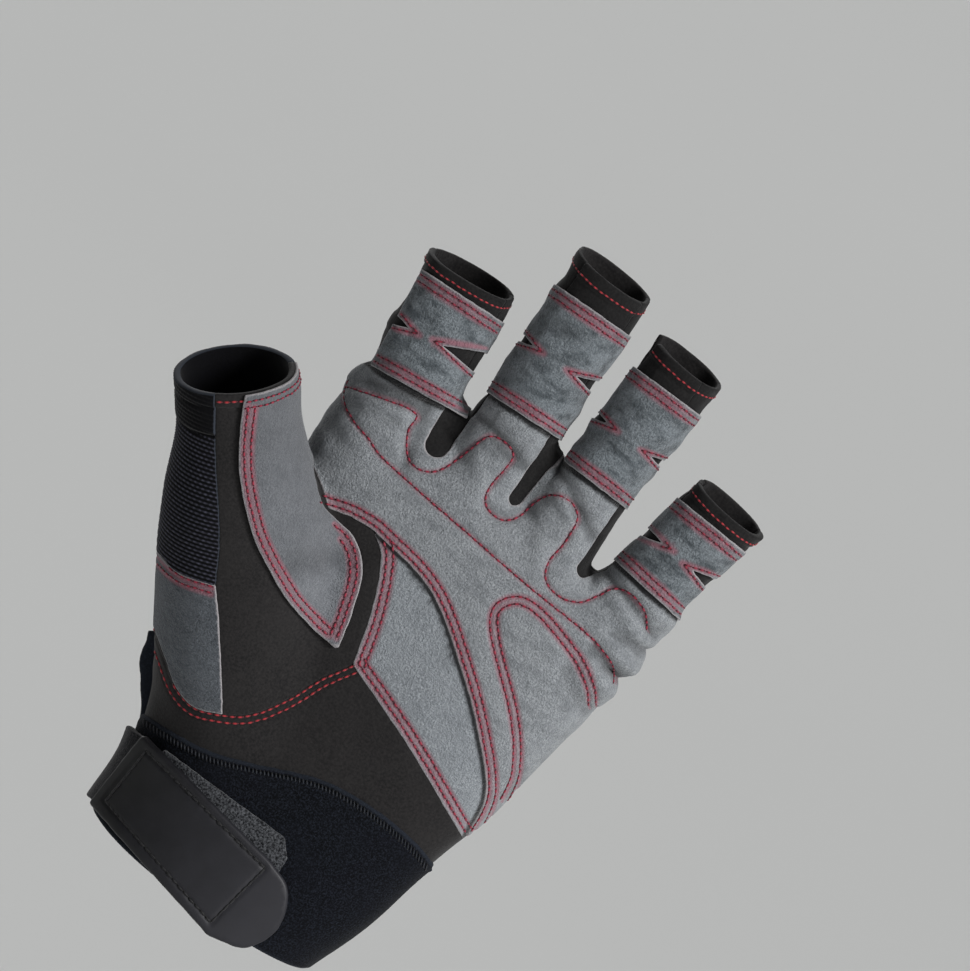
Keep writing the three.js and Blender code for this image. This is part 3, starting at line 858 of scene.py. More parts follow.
def relief(points):
    """How far the cloth stands out of the plain form."""
    out = 0.3 * noise(points, 17) + 0.15 * noise(points, 7.5, 1)
    p = flat(points)
    slant = np.stack([(p[:, 0] + 0.35 * p[:, 1]) * 0.3, p[:, 1] - 0.35 * p[:, 0], points[:, 1] * 0.5], 1)
    on_finger = np.clip((p[:, 1] - 104) / 12, 0, 1)
    out += on_finger * (0.55 * noise(slant, 4.6, 2) + 0.16 * noise(points, 2.6, 3))
    ahead = np.clip(-points[:, 1] / 4, 0, 1)
    for x0, z0, x1, z1, width, height in FOLDS:
        a, side = np.array([x0, z0]), np.array([x1 - x0, z1 - z0])
        t = np.clip((p - a) @ side / (side @ side), 0, 1)
        away = ((p - a - t[:, None] * side) ** 2).sum(1)
        out += ahead * height * np.exp(-away / width**2)
    beside = {"ulnar": np.clip((p[:, 0] - 44) / 5, 0, 1), "radial": np.clip((-32 - p[:, 0]) / 3, 0, 1)}
    for side, folds in SIDE_FOLDS.items():
        for z, width, height in folds:
            out += beside[side] * height * np.exp(-(((p[:, 1] - z) / width) ** 2))
    for line, width, height in DIPS:
        out += ahead * height * np.exp(-((line_distance(points, line) / width) ** 2))
    return out


# Meshes and objects

CLOTH_SHARE = 0.6  # of a cloth's triangles are kept, and its flat and inner sides lose the most


def mesh_object(name, points, tris, attributes=(), share=1):
    """An object from points in millimetres, with a share of its triangles kept."""
    mesh = bpy.data.meshes.new(name)
    mesh.vertices.add(len(points))
    mesh.vertices.foreach_set("co", (np.asarray(points) * MM).astype(np.float32).ravel())
    mesh.loops.add(tris.size)
    mesh.loops.foreach_set("vertex_index", tris.astype(np.int32).ravel())
    mesh.polygons.add(len(tris))
    mesh.polygons.foreach_set("loop_start", np.arange(0, tris.size, 3, dtype=np.int32))
    mesh.update(calc_edges=True)
    mesh.polygons.foreach_set("use_smooth", np.ones(len(tris), bool))
    for title, values in dict(attributes).items():
        mesh.attributes.new(title, "FLOAT", "POINT").data.foreach_set("value", values.astype(np.float32))
    thing = bpy.data.objects.new(name, mesh)
    bpy.context.scene.collection.objects.link(thing)
    if share < 1:
        thing.modifiers.new("fewer_triangles", "DECIMATE").ratio = share
    return thing


def dress(thing, material, nodes):
    """Gives a piece its material, puts it under the root body, and hides the parts of the model that it
    stands for.
    """
    thing.data.materials.append(material)
    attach(thing, "root")
    if nodes:
        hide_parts(*nodes)
    return thing


skins = {}  # each piece's outer side, for the stitches
# Widths of a row's groove, of the tint beside it and of the shade under an edge
GROOVE_WIDTH, TINT_WIDTH, SHADE_WIDTH = 0.5, 0.8, 0.85
SINGLE_TINT = 0.6  # of a single row, beside a double one


def padded_edge(name, points, tris, outer, inner, rim, rows, groove, lift=None, extra=None, under=()):
    """Closes a surface into cloth: grooves along its rows, painted shade in its creases, and painted shade
    under what lies over it.
    """
    normals = normals_of(points, tris)
    seam = np.zeros(len(points))
    depth = np.zeros(len(points))
    facing = np.clip(np.abs(normals @ LOOK), 0.35, 1)
    for line in rows:
        away = line_distance(points, line) / facing
        depth = np.maximum(depth, np.exp(-((away / GROOVE_WIDTH) ** 2)))
        tint = SINGLE_TINT if line is LONG_LINE or line is WAVE_LINE else 1
        seam = np.maximum(seam, np.exp(-((away / TINT_WIDTH) ** 2)) * tint)
    shade = np.zeros(len(points))
    for line in under:
        shade = np.maximum(shade, np.exp(-((line_distance(points, line) / SHADE_WIDTH) ** 4)))
    height = np.full(len(points), float(outer)) - groove * depth
    height += 0.1 * seam * noise(points, 1.4, 5)
    if lift is not None:
        height += lift
    body, faces, edge, top = thicken(points, normals, tris, height, np.full(len(points), float(inner)), rim)
    skins[name] = (top, tris)
    tint = np.zeros(len(body))
    tint[: len(points)] = seam
    values = {"seam": tint, "edge": edge}
    # painted shade: the cloth's colour darkens where its relief sinks into creases and grooves
    crease_shade = np.clip(-0.15 - relief(points), 0, 1)
    for title, amount in {"shade": shade, "crease_shade": crease_shade, **(extra or {})}.items():
        full = np.zeros(len(body))
        full[: len(points)] = amount
        values[title] = full
    return body, faces, values


def panel(name, base, regions, outer, inner, rim, rows=(), groove=0.25, lift=None, under=()):
    """One panel: the base surface cut to its regions, and closed into cloth."""
    points, tris = base
    for region in regions:
        points, tris = clip(points, tris, region)
    points, tris = biggest(points, tris)
    amount = None if lift is None else lift(points)
    body = padded_edge(name, points, tris, outer, inner, rim, rows, groove, amount, under=under)
    return mesh_object(name, *body, CLOTH_SHARE)


def settle(base):
    """A base surface with its folds and waves."""
    points, tris = base
    normals = normals_of(points, tris)
    return points + normals * relief(points)[:, None], tris


def level_of(values, box, level):
    """A settled base surface in a box."""
    window = grid.window(box)
    return settle(form_surface(window, values[window], level))


WHOLE_FRONT = ((-79, -44, -14), (66, 4.5, 177))
WHOLE_BACK = ((-79, 1.5, -14), (66, 28, 177))
front_skin = level_of(form, WHOLE_FRONT, FABRIC / 2)
back_skin = level_of(form, WHOLE_BACK, FABRIC / 2)


# Materials


class Paint:
    """A material with short calls for its nodes."""

    def __init__(self, name, roughness, **constants):
        self.material = bpy.data.materials.new(name)
        self.material.use_nodes = True
        self.tree = self.material.node_tree
        self.shader = self.tree.nodes["Principled BSDF"]
        self.shader.inputs["Roughness"].default_value = roughness
        for title, value in constants.items():
            self.shader.inputs[title.replace("_", " ")].default_value = value
        self.place = self.node("ShaderNodeTexCoord").outputs["Object"]

    def node(self, kind, inputs=None, **settings):
        made = self.tree.nodes.new(kind)
        for key, value in settings.items():
            setattr(made, key, value)
        for key, value in (inputs or {}).items():
            if isinstance(value, bpy.types.NodeSocket):
                self.tree.links.new(value, made.inputs[key])
            else:
                made.inputs[key].default_value = value
        return made

    def noise(self, size_mm, detail=3.0, stretch=None):
        """Noise from 0 to 1 with lumps of this size."""
        place = self.place
        if stretch:
            place = self.node("ShaderNodeMapping", {"Vector": place, "Scale": stretch}).outputs[0]
        inputs = {"Vector": place, "Scale": 1 / (size_mm * MM), "Detail": detail, "Roughness": 0.6}
        return self.node("ShaderNodeTexNoise", inputs).outputs["Fac"]

    def value(self, title):
        return self.node("ShaderNodeAttribute", attribute_name=title).outputs["Fac"]

    def ramp(self, value, low, high, start=0.0, end=1.0):
        inputs = {"Value": value, "From Min": low, "From Max": high, "To Min": start, "To Max": end}
        return self.node("ShaderNodeMapRange", inputs).outputs["Result"]

    def mix(self, share, first, second, blend="MIX"):
        made = self.node("ShaderNodeMix", data_type="RGBA", blend_type=blend)
        for key, value in ((0, share), (6, first), (7, second)):
            if isinstance(value, bpy.types.NodeSocket):
                self.tree.links.new(value, made.inputs[key])
            else:
                made.inputs[key].default_value = value
        return made.outputs[2]

    def sums(self, first, second, operation="ADD"):
        return self.node("ShaderNodeMath", {0: first, 1: second}, operation=operation).outputs[0]

    def color(self, socket):
        self.tree.links.new(socket, self.shader.inputs["Base Color"])

    def bump(self, height, depth_mm, strength=1.0):
        inputs = {"Height": height, "Distance": depth_mm * MM, "Strength": strength}
        made = self.node("ShaderNodeBump", inputs)
        self.tree.links.new(made.outputs[0], self.shader.inputs["Normal"])


def tone(red, green, blue):
    """An sRGB colour from 0 to 255 as a linear one."""
    linear = [((c / 255 + 0.055) / 1.055) ** 2.4 if c > 10 else c / 255 / 12.92 for c in (red, green, blue)]
    return (*linear, 1)


def suede_material(name, mid, spread, streaks, smoky=0.5, top_shade=0):
    """Napped suede: mottled at three sizes, pinkish along its stitching and pale at raw edges, with painted
    shade in its creases and under what lies over its edges, and, when asked for, painted shade towards its
    top.
    """
    paint = Paint(name, 0.92, Sheen_Weight=0.25, Sheen_Roughness=0.5, Specular_IOR_Level=0.2)
    dark = tone(*(c - spread for c in mid))
    light = tone(*(c + spread for c in mid))
    fine = paint.ramp(paint.noise(0.42, 3), 0.34, 0.66)
    base = paint.mix(fine, dark, light)
    speck = paint.ramp(paint.noise(1.0, 4), 0.38, 0.66)
    base = paint.mix(paint.ramp(speck, 0, 1, 0, 0.25), base, tone(*(c + 8 for c in mid)))
    cloud = paint.ramp(paint.noise(9, 3), 0.35, 0.65)
    base = paint.mix(paint.ramp(cloud, 0, 1, 0, 0.4), base, tone(*(c + 12 for c in mid)))
    streak = paint.ramp(paint.noise(2.6, 4, (0.35, 1, 1)), 0.46, 0.66)
    base = paint.mix(paint.ramp(streak, 0, 1, 0, smoky), base, tone(*(c - streaks for c in mid)))
    # painted shade: darker towards the piece's top, from 75 to 100 mm up, where less light falls
    if top_shade:
        height = paint.node("ShaderNodeSeparateXYZ", {0: paint.place}).outputs["Z"]
        share = paint.ramp(height, 0.075, 0.1, 0, top_shade)
        base = paint.mix(share, base, tone(*(0.7 * c for c in mid)))
    # painted shade in the creases
    crease_shade = paint.ramp(paint.value("crease_shade"), 0, 0.8, 0, 0.65)
    base = paint.mix(crease_shade, base, tone(*(0.5 * c for c in mid)))
    seam = paint.ramp(paint.value("seam"), 0.12, 0.85, 0, 0.82)
    base = paint.mix(seam, base, tone(154, 103, 115))
    edge = paint.ramp(paint.value("edge"), 0.3, 0.9, 0, 0.8)
    base = paint.mix(edge, base, tone(176, 171, 173))
    shade = paint.ramp(paint.value("shade"), 0.1, 0.8, 0, 0.95)
    base = paint.mix(shade, base, tone(13, 13, 15))
    paint.color(base)
    paint.bump(paint.sums(fine, speck), 0.2, 0.8)
    return paint.material


def black_material(name, dark, light):
    """Matt black synthetic with a fine grain."""
    paint = Paint(name, 0.85, Sheen_Weight=0.1, Sheen_Roughness=0.5, Specular_IOR_Level=0.2)
    fine = paint.ramp(paint.noise(0.6, 4), 0.35, 0.7)
    base = paint.mix(fine, tone(*dark), tone(*light))
    cloud = paint.ramp(paint.noise(12, 3), 0.35, 0.7, 0, 0.4)
    base = paint.mix(cloud, base, tone(*light))
    paint.color(base)
    paint.bump(fine, 0.08, 0.5)
    return paint.material


def neoprene_material():
    """Dark navy jersey over neoprene, with pale fibres."""
    paint = Paint("neoprene_jersey", 0.95, Sheen_Weight=0.05, Sheen_Roughness=0.4, Specular_IOR_Level=0.1)
    fine = paint.ramp(paint.noise(0.42, 3), 0.44, 0.72)
    base = paint.mix(fine, tone(8, 9, 12), tone(37, 41, 50))
    cloud = paint.ramp(paint.noise(10, 3), 0.35, 0.7, 0, 0.4)
    base = paint.mix(cloud, base, tone(20, 22, 29))
    worn = paint.ramp(paint.value("edge"), 0.2, 0.9, 0, 0.3)
    base = paint.mix(worn, base, tone(56, 62, 72))
    paint.color(base)
    paint.bump(fine, 0.08, 0.6)
    return paint.material


def knit_material():
    """Navy-black rib knit, with painted shade between its rows and a painted highlight on each loop."""
    paint = Paint("rib_knit_yarn", 0.9, Sheen_Weight=0.15, Sheen_Roughness=0.4, Specular_IOR_Level=0.15)
    # painted light from the loops' height: shade between the rows, highlight on each loop's top
    loop = paint.ramp(paint.value("loop"), 0.5, 1)
    base = paint.mix(loop, tone(4, 4, 7), tone(84, 85, 100))
    fine = paint.ramp(paint.noise(0.5, 3), 0.4, 0.65, 0, 0.6)
    base = paint.mix(fine, base, tone(12, 12, 17))
    worn = paint.ramp(paint.value("edge"), 0.3, 0.9, 0, 0.7)
    base = paint.mix(worn, base, tone(58, 63, 72))
    paint.color(base)
    paint.bump(paint.noise(0.3, 2), 0.05, 0.5)
    return paint.material


def rubber_material():
    """Black rubber, with painted shade: darker towards the tab's left end and lighter towards its free end,
    for how the tab turns to the light.
    """
    paint = Paint("strap_rubber", 0.5, Specular_IOR_Level=0.35)
    across = paint.node("ShaderNodeSeparateXYZ", {0: paint.place}).outputs["X"]
    cloud = paint.ramp(paint.noise(6, 4), 0.3, 0.7, -0.15, 0.15)
    # painted shade: the colour runs from dark at x -28 mm to light at x 14 mm
    share = paint.sums(cloud, paint.ramp(across, -0.028, 0.014))
    paint.color(paint.mix(share, tone(17, 17, 20), tone(42, 42, 47)))
    paint.bump(paint.noise(0.5, 3), 0.03, 0.4)
    return paint.material


def tape_material(name, dark, light):
    paint = Paint(name, 0.95, Sheen_Weight=0.2, Sheen_Roughness=0.4, Specular_IOR_Level=0.15)
    fine = paint.ramp(paint.noise(0.5, 3), 0.38, 0.66)
    paint.color(paint.mix(fine, tone(*dark), tone(*light)))
    paint.bump(fine, 0.12, 0.8)
    return paint.material


def thread_material(name, ends, middle):
    """Thread with painted light: darker at both ends, a painted shade where it dives into the cloth, and
    lighter in its middle, a painted highlight.
    """
    paint = Paint(name, 0.6, Sheen_Weight=0.15, Specular_IOR_Level=0.3)
    # painted highlight in the middle of each stitch and painted shade at its ends, from the stitch's bow
    share = paint.ramp(paint.value("thread"), 0.6, 0.9)
    paint.color(paint.mix(share, tone(*ends), tone(*middle)))
    return paint.material


suede = suede_material("suede_nap", (138, 142, 146), 27, 34)
thenar_suede = suede_material("suede_nap_thenar", (138, 143, 148), 26, 12)
# a darker copy of the palm's suede for the finger patches: painted shade for their form and folds
shaded_finger_suede = suede_material("suede_nap_fingers_shaded", (110, 117, 122), 30, 56, 0.8)
# a darker copy of the palm's suede for the thumb's leaf patch: painted shade, with more painted shade towards
# its top
shaded_leaf_suede = suede_material("suede_nap_leaf_shaded", (113, 116, 121), 20, 16, top_shade=0.45)
# a much darker copy of the palm's suede for the thumb's side panel, which faces away from the light: painted
# shade
shaded_side_suede = suede_material("suede_nap_side_shaded", (80, 85, 91), 26, 22)
black = black_material("black_fabric_cloth", (21, 20, 21), (43, 41, 41))
# a darker copy of the black cloth for the fourchettes and sleeves: painted shade on and between the fingers
shaded_finger_black = black_material("black_fabric_fingers_shaded", (13, 12, 13), (31, 30, 30))
neoprene = neoprene_material()
knit = knit_material()
rubber = rubber_material()
band_tape = tape_material("strap_webbing", (22, 22, 25), (46, 46, 50))
loop_tape = tape_material("strap_loops", (20, 21, 24), (92, 94, 98))
red_thread = thread_material("red_thread", (72, 8, 26), (152, 44, 64))
# a darker copy of the red thread for the finger patches: painted shade
shaded_red_thread = thread_material("red_thread_shaded", (66, 8, 24), (140, 46, 64))
bright_thread = thread_material("red_thread_bright", (88, 10, 22), (180, 52, 58))
black_thread = thread_material("black_thread", (8, 8, 9), (30, 30, 32))
cuff_thread = thread_material("cuff_thread", (6, 7, 9), (33, 37, 45))


# Panels

CUT_RIM = 0.3  # how far a cut edge bulges
UNDER = 0.65  # how far cloth reaches inwards from the base surface
HEM_PAST = 1.4  # how far a turned hem reaches past its stitches


def hem_lift(distance, reach, height):
    """A turned hem: thicker for its width, with a groove at its stitching."""

    def lift(points):
        d = distance(points)
        return height * np.clip((reach - d) / 0.6, 0, 1) - 0.2 * np.exp(-(((d - reach) / 0.5) ** 2))

    return lift


def flare(points):
    """The back of the cuff, which curls out along its top and at the thumb's side."""
    top = np.exp(-((cuff_back_area(points) / 1.4) ** 2))
    side = np.clip((-26 - points[:, 0]) / 9, 0, 1) * np.exp(-(((points[:, 2] - 35) / 11) ** 2))
    return 0.9 * top + 3.8 * side * (1 + 0.25 * noise(points, 5, 7))


# How far the hems' stitches lie below the rims
HEM_ROWS = {"index": 1.6, "middle": 2.4, "ring": 2.1, "pinky": 1.8}
all_slots = either(*slot_areas.values())
dress(
    panel(
        "heel_panel_cloth", front_skin, [front, outside(cuff_front_area), heel_area],
        0.5, UNDER, CUT_RIM, double_lines["arc"],
    ),
    black, ["heel_panel"],
)
dress(
    panel(
        "back_panel_cloth", back_skin, [rear, outside(cuff_back_area), finger_hem, thumb_hem],
        0.6, UNDER, CUT_RIM,
    ),
    black, ["back_panel"],
)
for title, region in slot_areas.items():
    name = f"fourchette_{title}"
    dress(
        panel(f"{name}_cloth", front_skin, [region, front, finger_hem], 0.45, UNDER, CUT_RIM),
        shaded_finger_black, [name],
    )
dress(
    panel(
        "thumb_side_panel_cloth", front_skin,
        [side_area, front, outside(heel_area), outside(cuff_front_area), outside(knit_region)],
        0.7, UNDER, CUT_RIM, double_lines["knit_foot"],
    ),
    shaded_side_suede, ["thumb_side_panel"],
)
dress(
    panel(
        "thenar_panel_cloth", front_skin, [thenar_area, front], 0.65, UNDER, CUT_RIM, suede_rows,
        under=[np.vstack([web_edge, palm_edge])],
    ),
    thenar_suede, ["thenar_panel"],
)
dress(
    panel(
        "thumb_gusset_cloth", front_skin,
        [
            gusset_region, front, outside(heel_area), outside(side_area), outside(knit_region),
            outside(thenar_area), outside(all_slots), thumb_hem,
        ],
        0.45, UNDER, CUT_RIM, double_lines["arc"], lift=hem_lift(thumb_hem, 3.2, 0.3),
    ),
    black, ["thumb_gusset"],
)
patches = either(*(patch_area(*row) for row in PATCHES.values()))
covered = lambda points: np.clip(patches(points) / 0.8, 0, 1)  # by a patch on top
patch_feet = []
for name, (low, *_) in PATCHES.items():
    x = np.linspace(FINGER_ROWS[name][1][0] - 1.5, FINGER_ROWS[name][1][2] + 1.5, 12)
    patch_feet.append(np.stack([x, line_at(*low, x) - 0.4], 1))
hand_only = [front, outside(all_slots), outside(gusset_region), outside(thenar_area), outside(heel_area)]
for name, region in sleeve_areas.items():
    hem = hem_lift(finger_hem, HEM_ROWS[name] + HEM_PAST, 0.3)
    dress(
        panel(
            f"{name}_sleeve_cloth", front_skin, [region, *hand_only[:2], finger_hem], 0.65, UNDER, CUT_RIM,
            lift=lambda points: hem(points) - 0.25 * covered(points),
        ),
        shaded_finger_black, [f"{name}_sleeve"],
    )
dress(
    panel(
        "palm_panel_cloth", front_skin,
        [*hand_only, outside(either(*sleeve_areas.values())), outside(knit_region), outside(cuff_front_area)],
        0.8, UNDER, CUT_RIM, suede_rows, under=patch_feet, lift=lambda points: -0.35 * covered(points),
    ),
    suede, ["palm_panel"],
)


# Patches on the fingers and the thumb

PATCH_LEVEL = FABRIC + 0.5
PATCH_CLOTH = 0.35, 0.3, 0.2  # outwards, inwards and at the rim
PATCH_GROOVE = 0.15
FLANKS = {  # heights, and where the patch's left edge lies at them
    "index": ([117, 131, 145], [-35.4, -36.9, -38.7]),
    "ring": ([120, 129, 133], [12.6, 12.4, 8.0]),
}


def toward_flank(points):
    """From 0 on the palm side to 1 at a finger's flank, where its patch lies flat."""
    return np.clip((points[:, 1] + 5) / 5, 0, 1)


def edge_rows(low, high, left_notch, right_notch):
    """Rows of a finger patch: pairs along its low and high edge, and one round each notch."""
    rows = []
    for (a, b), sign in ((low, 1), (high, -1)):
        line = np.linspace(a, b, 8)
        rows += [line + (0, sign * near_row), line + (0, sign * far_row)]
    for (tip, foot, top), side in ((left_notch, -1), (right_notch, 1)):
        mouth = tip[0] + side * NOTCH_REACH
        apex = (tip[0] - side * 2.2, tip[1])
        rows += [np.array([(mouth, foot - 0.9), apex]), np.array([(mouth, top + 0.9), apex])]
    return rows


for name, row in PATCHES.items():
    window, own, others = own_finger(name)
    low = np.array([grid.axes[k][window[k].start] for k in range(3)])
    part = Grid(low, low + STEP * (np.array(own.shape) - 1))
    clear = lambda points: part.sample(points, others) - FABRIC - GAP - 0.7
    patch_front = front
    if name in FLANKS:
        flank = lambda points: flat(points)[:, 0] - np.interp(flat(points)[:, 1], *FLANKS[name])
        patch_front = both(front, flank)
    skin = settle(form_surface(window, own, PATCH_LEVEL))
    skin = (skin[0] - 0.35 * normals_of(*skin) * toward_flank(skin[0])[:, None], skin[1])
    dress(
        panel(
            f"{name}_patch_cloth", skin, [patch_area(*row), patch_front, clear],
            *PATCH_CLOTH, edge_rows(*row), PATCH_GROOVE,
            lift=lambda points: -0.2 * toward_flank(points),
        ),
        shaded_finger_suede, [f"{name}_patch"],
    )

window = grid.window(((-79, -44, 50), (8, 10, 124)))
leaf_skin = settle(form_surface(window, palm_form[window], PATCH_LEVEL))
leaf_keep = [leaf_area, thumb_front, thumb_hem]
dress(
    panel("thumb_patch_cloth", leaf_skin, leaf_keep, *PATCH_CLOTH, leaf_rows, PATCH_GROOVE),
    shaded_leaf_suede, ["thumb_patch"],
)


# Knit

ROW_PITCH, LOOP_PITCH = 1.03, 1.25
KNIT_HEM = 10.0  # width of the turned hem at the thumb's rim


def knit_lift(points):
    """Rows of loops round the thumb."""
    along = (points - thumb_middle) @ thumb_axis
    side = points - thumb_middle - along[:, None] * thumb_axis
    angle = np.arctan2(side @ thumb_back, side @ thumb_across)
    row = (along + 0.2 * (side @ thumb_across)) / ROW_PITCH
    turn = angle * 15 / LOOP_PITCH + 0.5 * np.floor(row)
    ridge = np.abs(np.sin(np.pi * row)) ** 1.3
    return ridge * (0.84 + 0.16 * np.cos(2 * np.pi * turn))


def knit_piece():
    """The knit: rows of loops, and a thicker hem with two grooves."""
    points, tris = front_skin
    for region in (knit_region, front, thumb_hem, outside(cuff_areas), outside(heel_area)):
        points, tris = clip(points, tris, region)
    points, tris = biggest(points, tris)
    points, tris = finer(points, tris)
    d = thumb_hem(points)
    loops = knit_lift(points) * (0.55 + 0.45 * np.clip((d - KNIT_HEM) / 0.8, 0, 1))
    grooves = sum(np.exp(-(((d - at) / 0.6) ** 2)) for at in (KNIT_HEM, 3.2))
    lift = 0.35 * loops + 0.45 * np.clip((KNIT_HEM - d) / 0.8, 0, 1) - 0.4 * grooves
    # the loops' height also goes to the material, for its painted highlight and shade
    body = padded_edge("thumb_knit_yarn", points, tris, 0.45, UNDER, CUT_RIM, [], 0, lift, {"loop": loops})
    return mesh_object("thumb_knit_yarn", *body, CLOTH_SHARE)


def finer(points, tris):
    """Each triangle cut into four."""
    pairs = np.sort(np.concatenate([tris[:, [0, 1]], tris[:, [1, 2]], tris[:, [2, 0]]]), axis=1)
    size = len(points)
    keys, where = np.unique(pairs[:, 0] * size + pairs[:, 1], return_inverse=True)
    a, b = keys // size, keys % size
    middles = (points[a] + points[b]) / 2
    ab, bc, ca = (size + part for part in np.split(where.ravel(), 3))
    p, q, r = tris.T
    cut = [np.stack(t, 1) for t in ((p, ab, ca), (ab, q, bc), (ca, bc, r), (ab, bc, ca))]
    return np.vstack([points, middles]), np.vstack(cut)


dress(knit_piece(), knit, ["thumb_knit"])


# Cuff

cuff_level = NEOPRENE / 2
cuff_front_skin = level_of(form, ((-60, -32, -8), (60, 4.5, 50)), cuff_level)
cuff_back_skin = level_of(form, ((-60, 1.5, -8), (60, 28, 50)), cuff_level)
dress(
    panel(
        "cuff_front_cloth", cuff_front_skin, [cuff_front_area, front, wrist_hem], 1.1, 1.1, 0.7,
        lift=lambda points: -0.35 * np.exp(-((cuff_front_area(points) / 0.8) ** 2)),
    ),
    neoprene, ["cuff_front"],
)
dress(
    panel(
        "cuff_back_cloth", cuff_back_skin, [cuff_back_area, rear, wrist_hem], 1.1, 1.1, 0.7,
        lift=flare,
    ),
    neoprene, ["cuff_back"],
)


# Strap

PAD_IN = NEOPRENE + GAP
TAB_IN = PAD_IN + LOOP_TAPE + GAP
wrist_box = ((-60, -36, -14), (60, 28, 40))
pad_area = area([(-24, 19.6), (9.6, 18.9), (12.6, 15.5), (13.4, 4), (-24, 8)])
tab_end = spline([(10.2, 12.2), (16.5, 9.3), (19.4, 1.6), (16.2, -5.9), (8, -8.3)], 10)
tab_area = area([*tab_end, (-30.2, 0.4), (-29.2, 19.2)])
band_area = area([(-60, 20), (-28, 18.8), (24, 17), (24, 1), (-28, 1), (-60, 2)])
BAND_FRONT, TAB_LEFT = -26, -30.6  # the band ends under the tab, and is pressed flat there
not_ahead = lambda points: np.maximum(BAND_FRONT - points[:, 0], flat_y(points) - 4)


def flat_y(points):
    """How far points lie behind the drawing plane."""
    return COS * points[:, 1] - SIN * points[:, 2]


def wrist_skin(level):
    """A plain surface round the wrist, for the strap's parts."""
    window = grid.window(wrist_box)
    return form_surface(window, hand[window], level)


ahead_only = lambda points: -points[:, 1]
pad_skin = wrist_skin(PAD_IN + LOOP_TAPE / 2)
dress(
    panel("strap_loop_pad_tape", pad_skin, [pad_area, ahead_only], 0.6, 0.6, 0.2),
    loop_tape, ["strap_loop_pad"],
)
box_points = np.array([(-27.2, 17.2), (-28.2, 2.4), (6.9, -6.2), (9.9, 10.9)])
tab_rows = [np.linspace(a, b, 6) for a, b in zip(box_points, np.roll(box_points, -1, axis=0))]
dress(
    panel(
        "strap_tab_rubber", wrist_skin(TAB_IN + RUBBER / 2), [tab_area, ahead_only],
        1.1, 1.1, 0.7, tab_rows, 0.35,
    ),
    rubber, ["strap_tab"],
)
dress(
    panel(
        "strap_band_webbing", wrist_skin(PAD_IN + BAND_TAPE / 2), [band_area, not_ahead], 0.9, 0.9, 0.4,
        lift=lambda points: -0.4 * np.clip((points[:, 0] - TAB_LEFT + 1) / 1.5, 0, 1) * (points[:, 1] < 0),
    ),
    band_tape, ["strap_band"],
)


# Stitches

BREAK = 2.2  # a path is broken where two of its places are further apart


def skin_tree(names):
    """The outer sides of some pieces, to cast rays at."""
    points, faces, start = [], [], 0
    for top, tris in (skins[name] for name in names):
        points.append(top)
        faces.append(tris + start)
        start += len(top)
    return BVHTree.FromPolygons(np.vstack(points).tolist(), np.vstack(faces).tolist())


front_tree = skin_tree([name for name in skins if "back" not in name and "band" not in name])


def projected(line):
    """The places and normals where a drawn line falls on the palm side."""
    out = []
    for x, z in line:
        start = upright((x, -90, z))
        place, normal, _, _ = front_tree.ray_cast(Vector(start), Vector(LOOK))
        if place is not None and normal @ Vector(LOOK) < 0:
            out.append((*place, *normal))
    return np.array(out)


def spaced(line, pitch):
    """Points at an even spacing along a line in any number of dimensions."""
    line = np.asarray(line, float)
    size = np.r_[0, np.cumsum(np.linalg.norm(np.diff(line[:, :3], axis=0), axis=1))]
    count = max(int(round(size[-1] / pitch)), 1)
    at = np.linspace(0, size[-1], count + 1)
    return np.stack([np.interp(at, size, line[:, k]) for k in range(line.shape[1])], 1)


def capsule(a, b, normal, radius, sides=6, rings=5):
    """A stitch from a to b: a bowed, tapered thread. Points, triangles and its share along."""
    axis = b - a
    size = np.linalg.norm(axis)
    axis = axis / size
    side = np.cross(axis, normal)
    side /= np.linalg.norm(side)
    up = np.cross(side, axis)
    points, share = [], []
    for t in np.linspace(0.04, 0.96, rings):
        bow = math.sin(math.pi * t)
        r = radius * (0.6 + 0.4 * bow)
        middle = a + axis * size * t + up * radius * (0.5 * bow - 0.15)
        for k in range(sides):
            angle = 2 * math.pi * k / sides
            points.append(middle + r * (math.cos(angle) * side + math.sin(angle) * up))
            share.append(bow)
    points += [a - up * radius * 0.1, b - up * radius * 0.1]
    share += [0, 0]
    tris = []
    last = (rings - 1) * sides
    for k in range(sides):
        n = (k + 1) % sides
        for low in range(0, last, sides):
            tris += [(low + k, low + n, low + n + sides), (low + k, low + n + sides, low + k + sides)]
        tris += [(rings * sides, n, k), (rings * sides + 1, last + k, last + n)]
    return np.array(points), np.array(tris), np.array(share)


class Thread:
    """Many stitches gathered into one object."""

    def __init__(self, name, material):
        self.name, self.material = name, material
        self.points, self.tris, self.share, self.count = [], [], [], 0

    def stitch(self, a, b, normal, radius):
        points, tris, share = capsule(a, b, normal, radius)
        self.points.append(points)
        self.tris.append(tris + self.count)
        self.share.append(share)
        self.count += len(points)

    def sew(self, path, pitch=1.75, radius=0.25):
        """Stitches along a path of places and normals."""
        if len(path) < 2:
            return
        jumps = np.flatnonzero(np.linalg.norm(np.diff(path[:, :3], axis=0), axis=1) > BREAK) + 1
        if len(jumps):
            for piece in np.split(path, jumps):
                self.sew(piece, pitch, radius)
            return
        spots = spaced(path, pitch)
        for p, q in zip(spots, spots[1:]):
            normal = p[3:] + q[3:]
            normal /= np.linalg.norm(normal)
            wobble = rng.normal(0, 0.04, 3)
            self.stitch(p[:3] + wobble, q[:3] + wobble, normal, radius)

    def finish(self):
        thing = mesh_object(
            self.name, np.vstack(self.points), np.vstack(self.tris), {"thread": np.concatenate(self.share)}
        )
        return dress(thing, self.material, [])


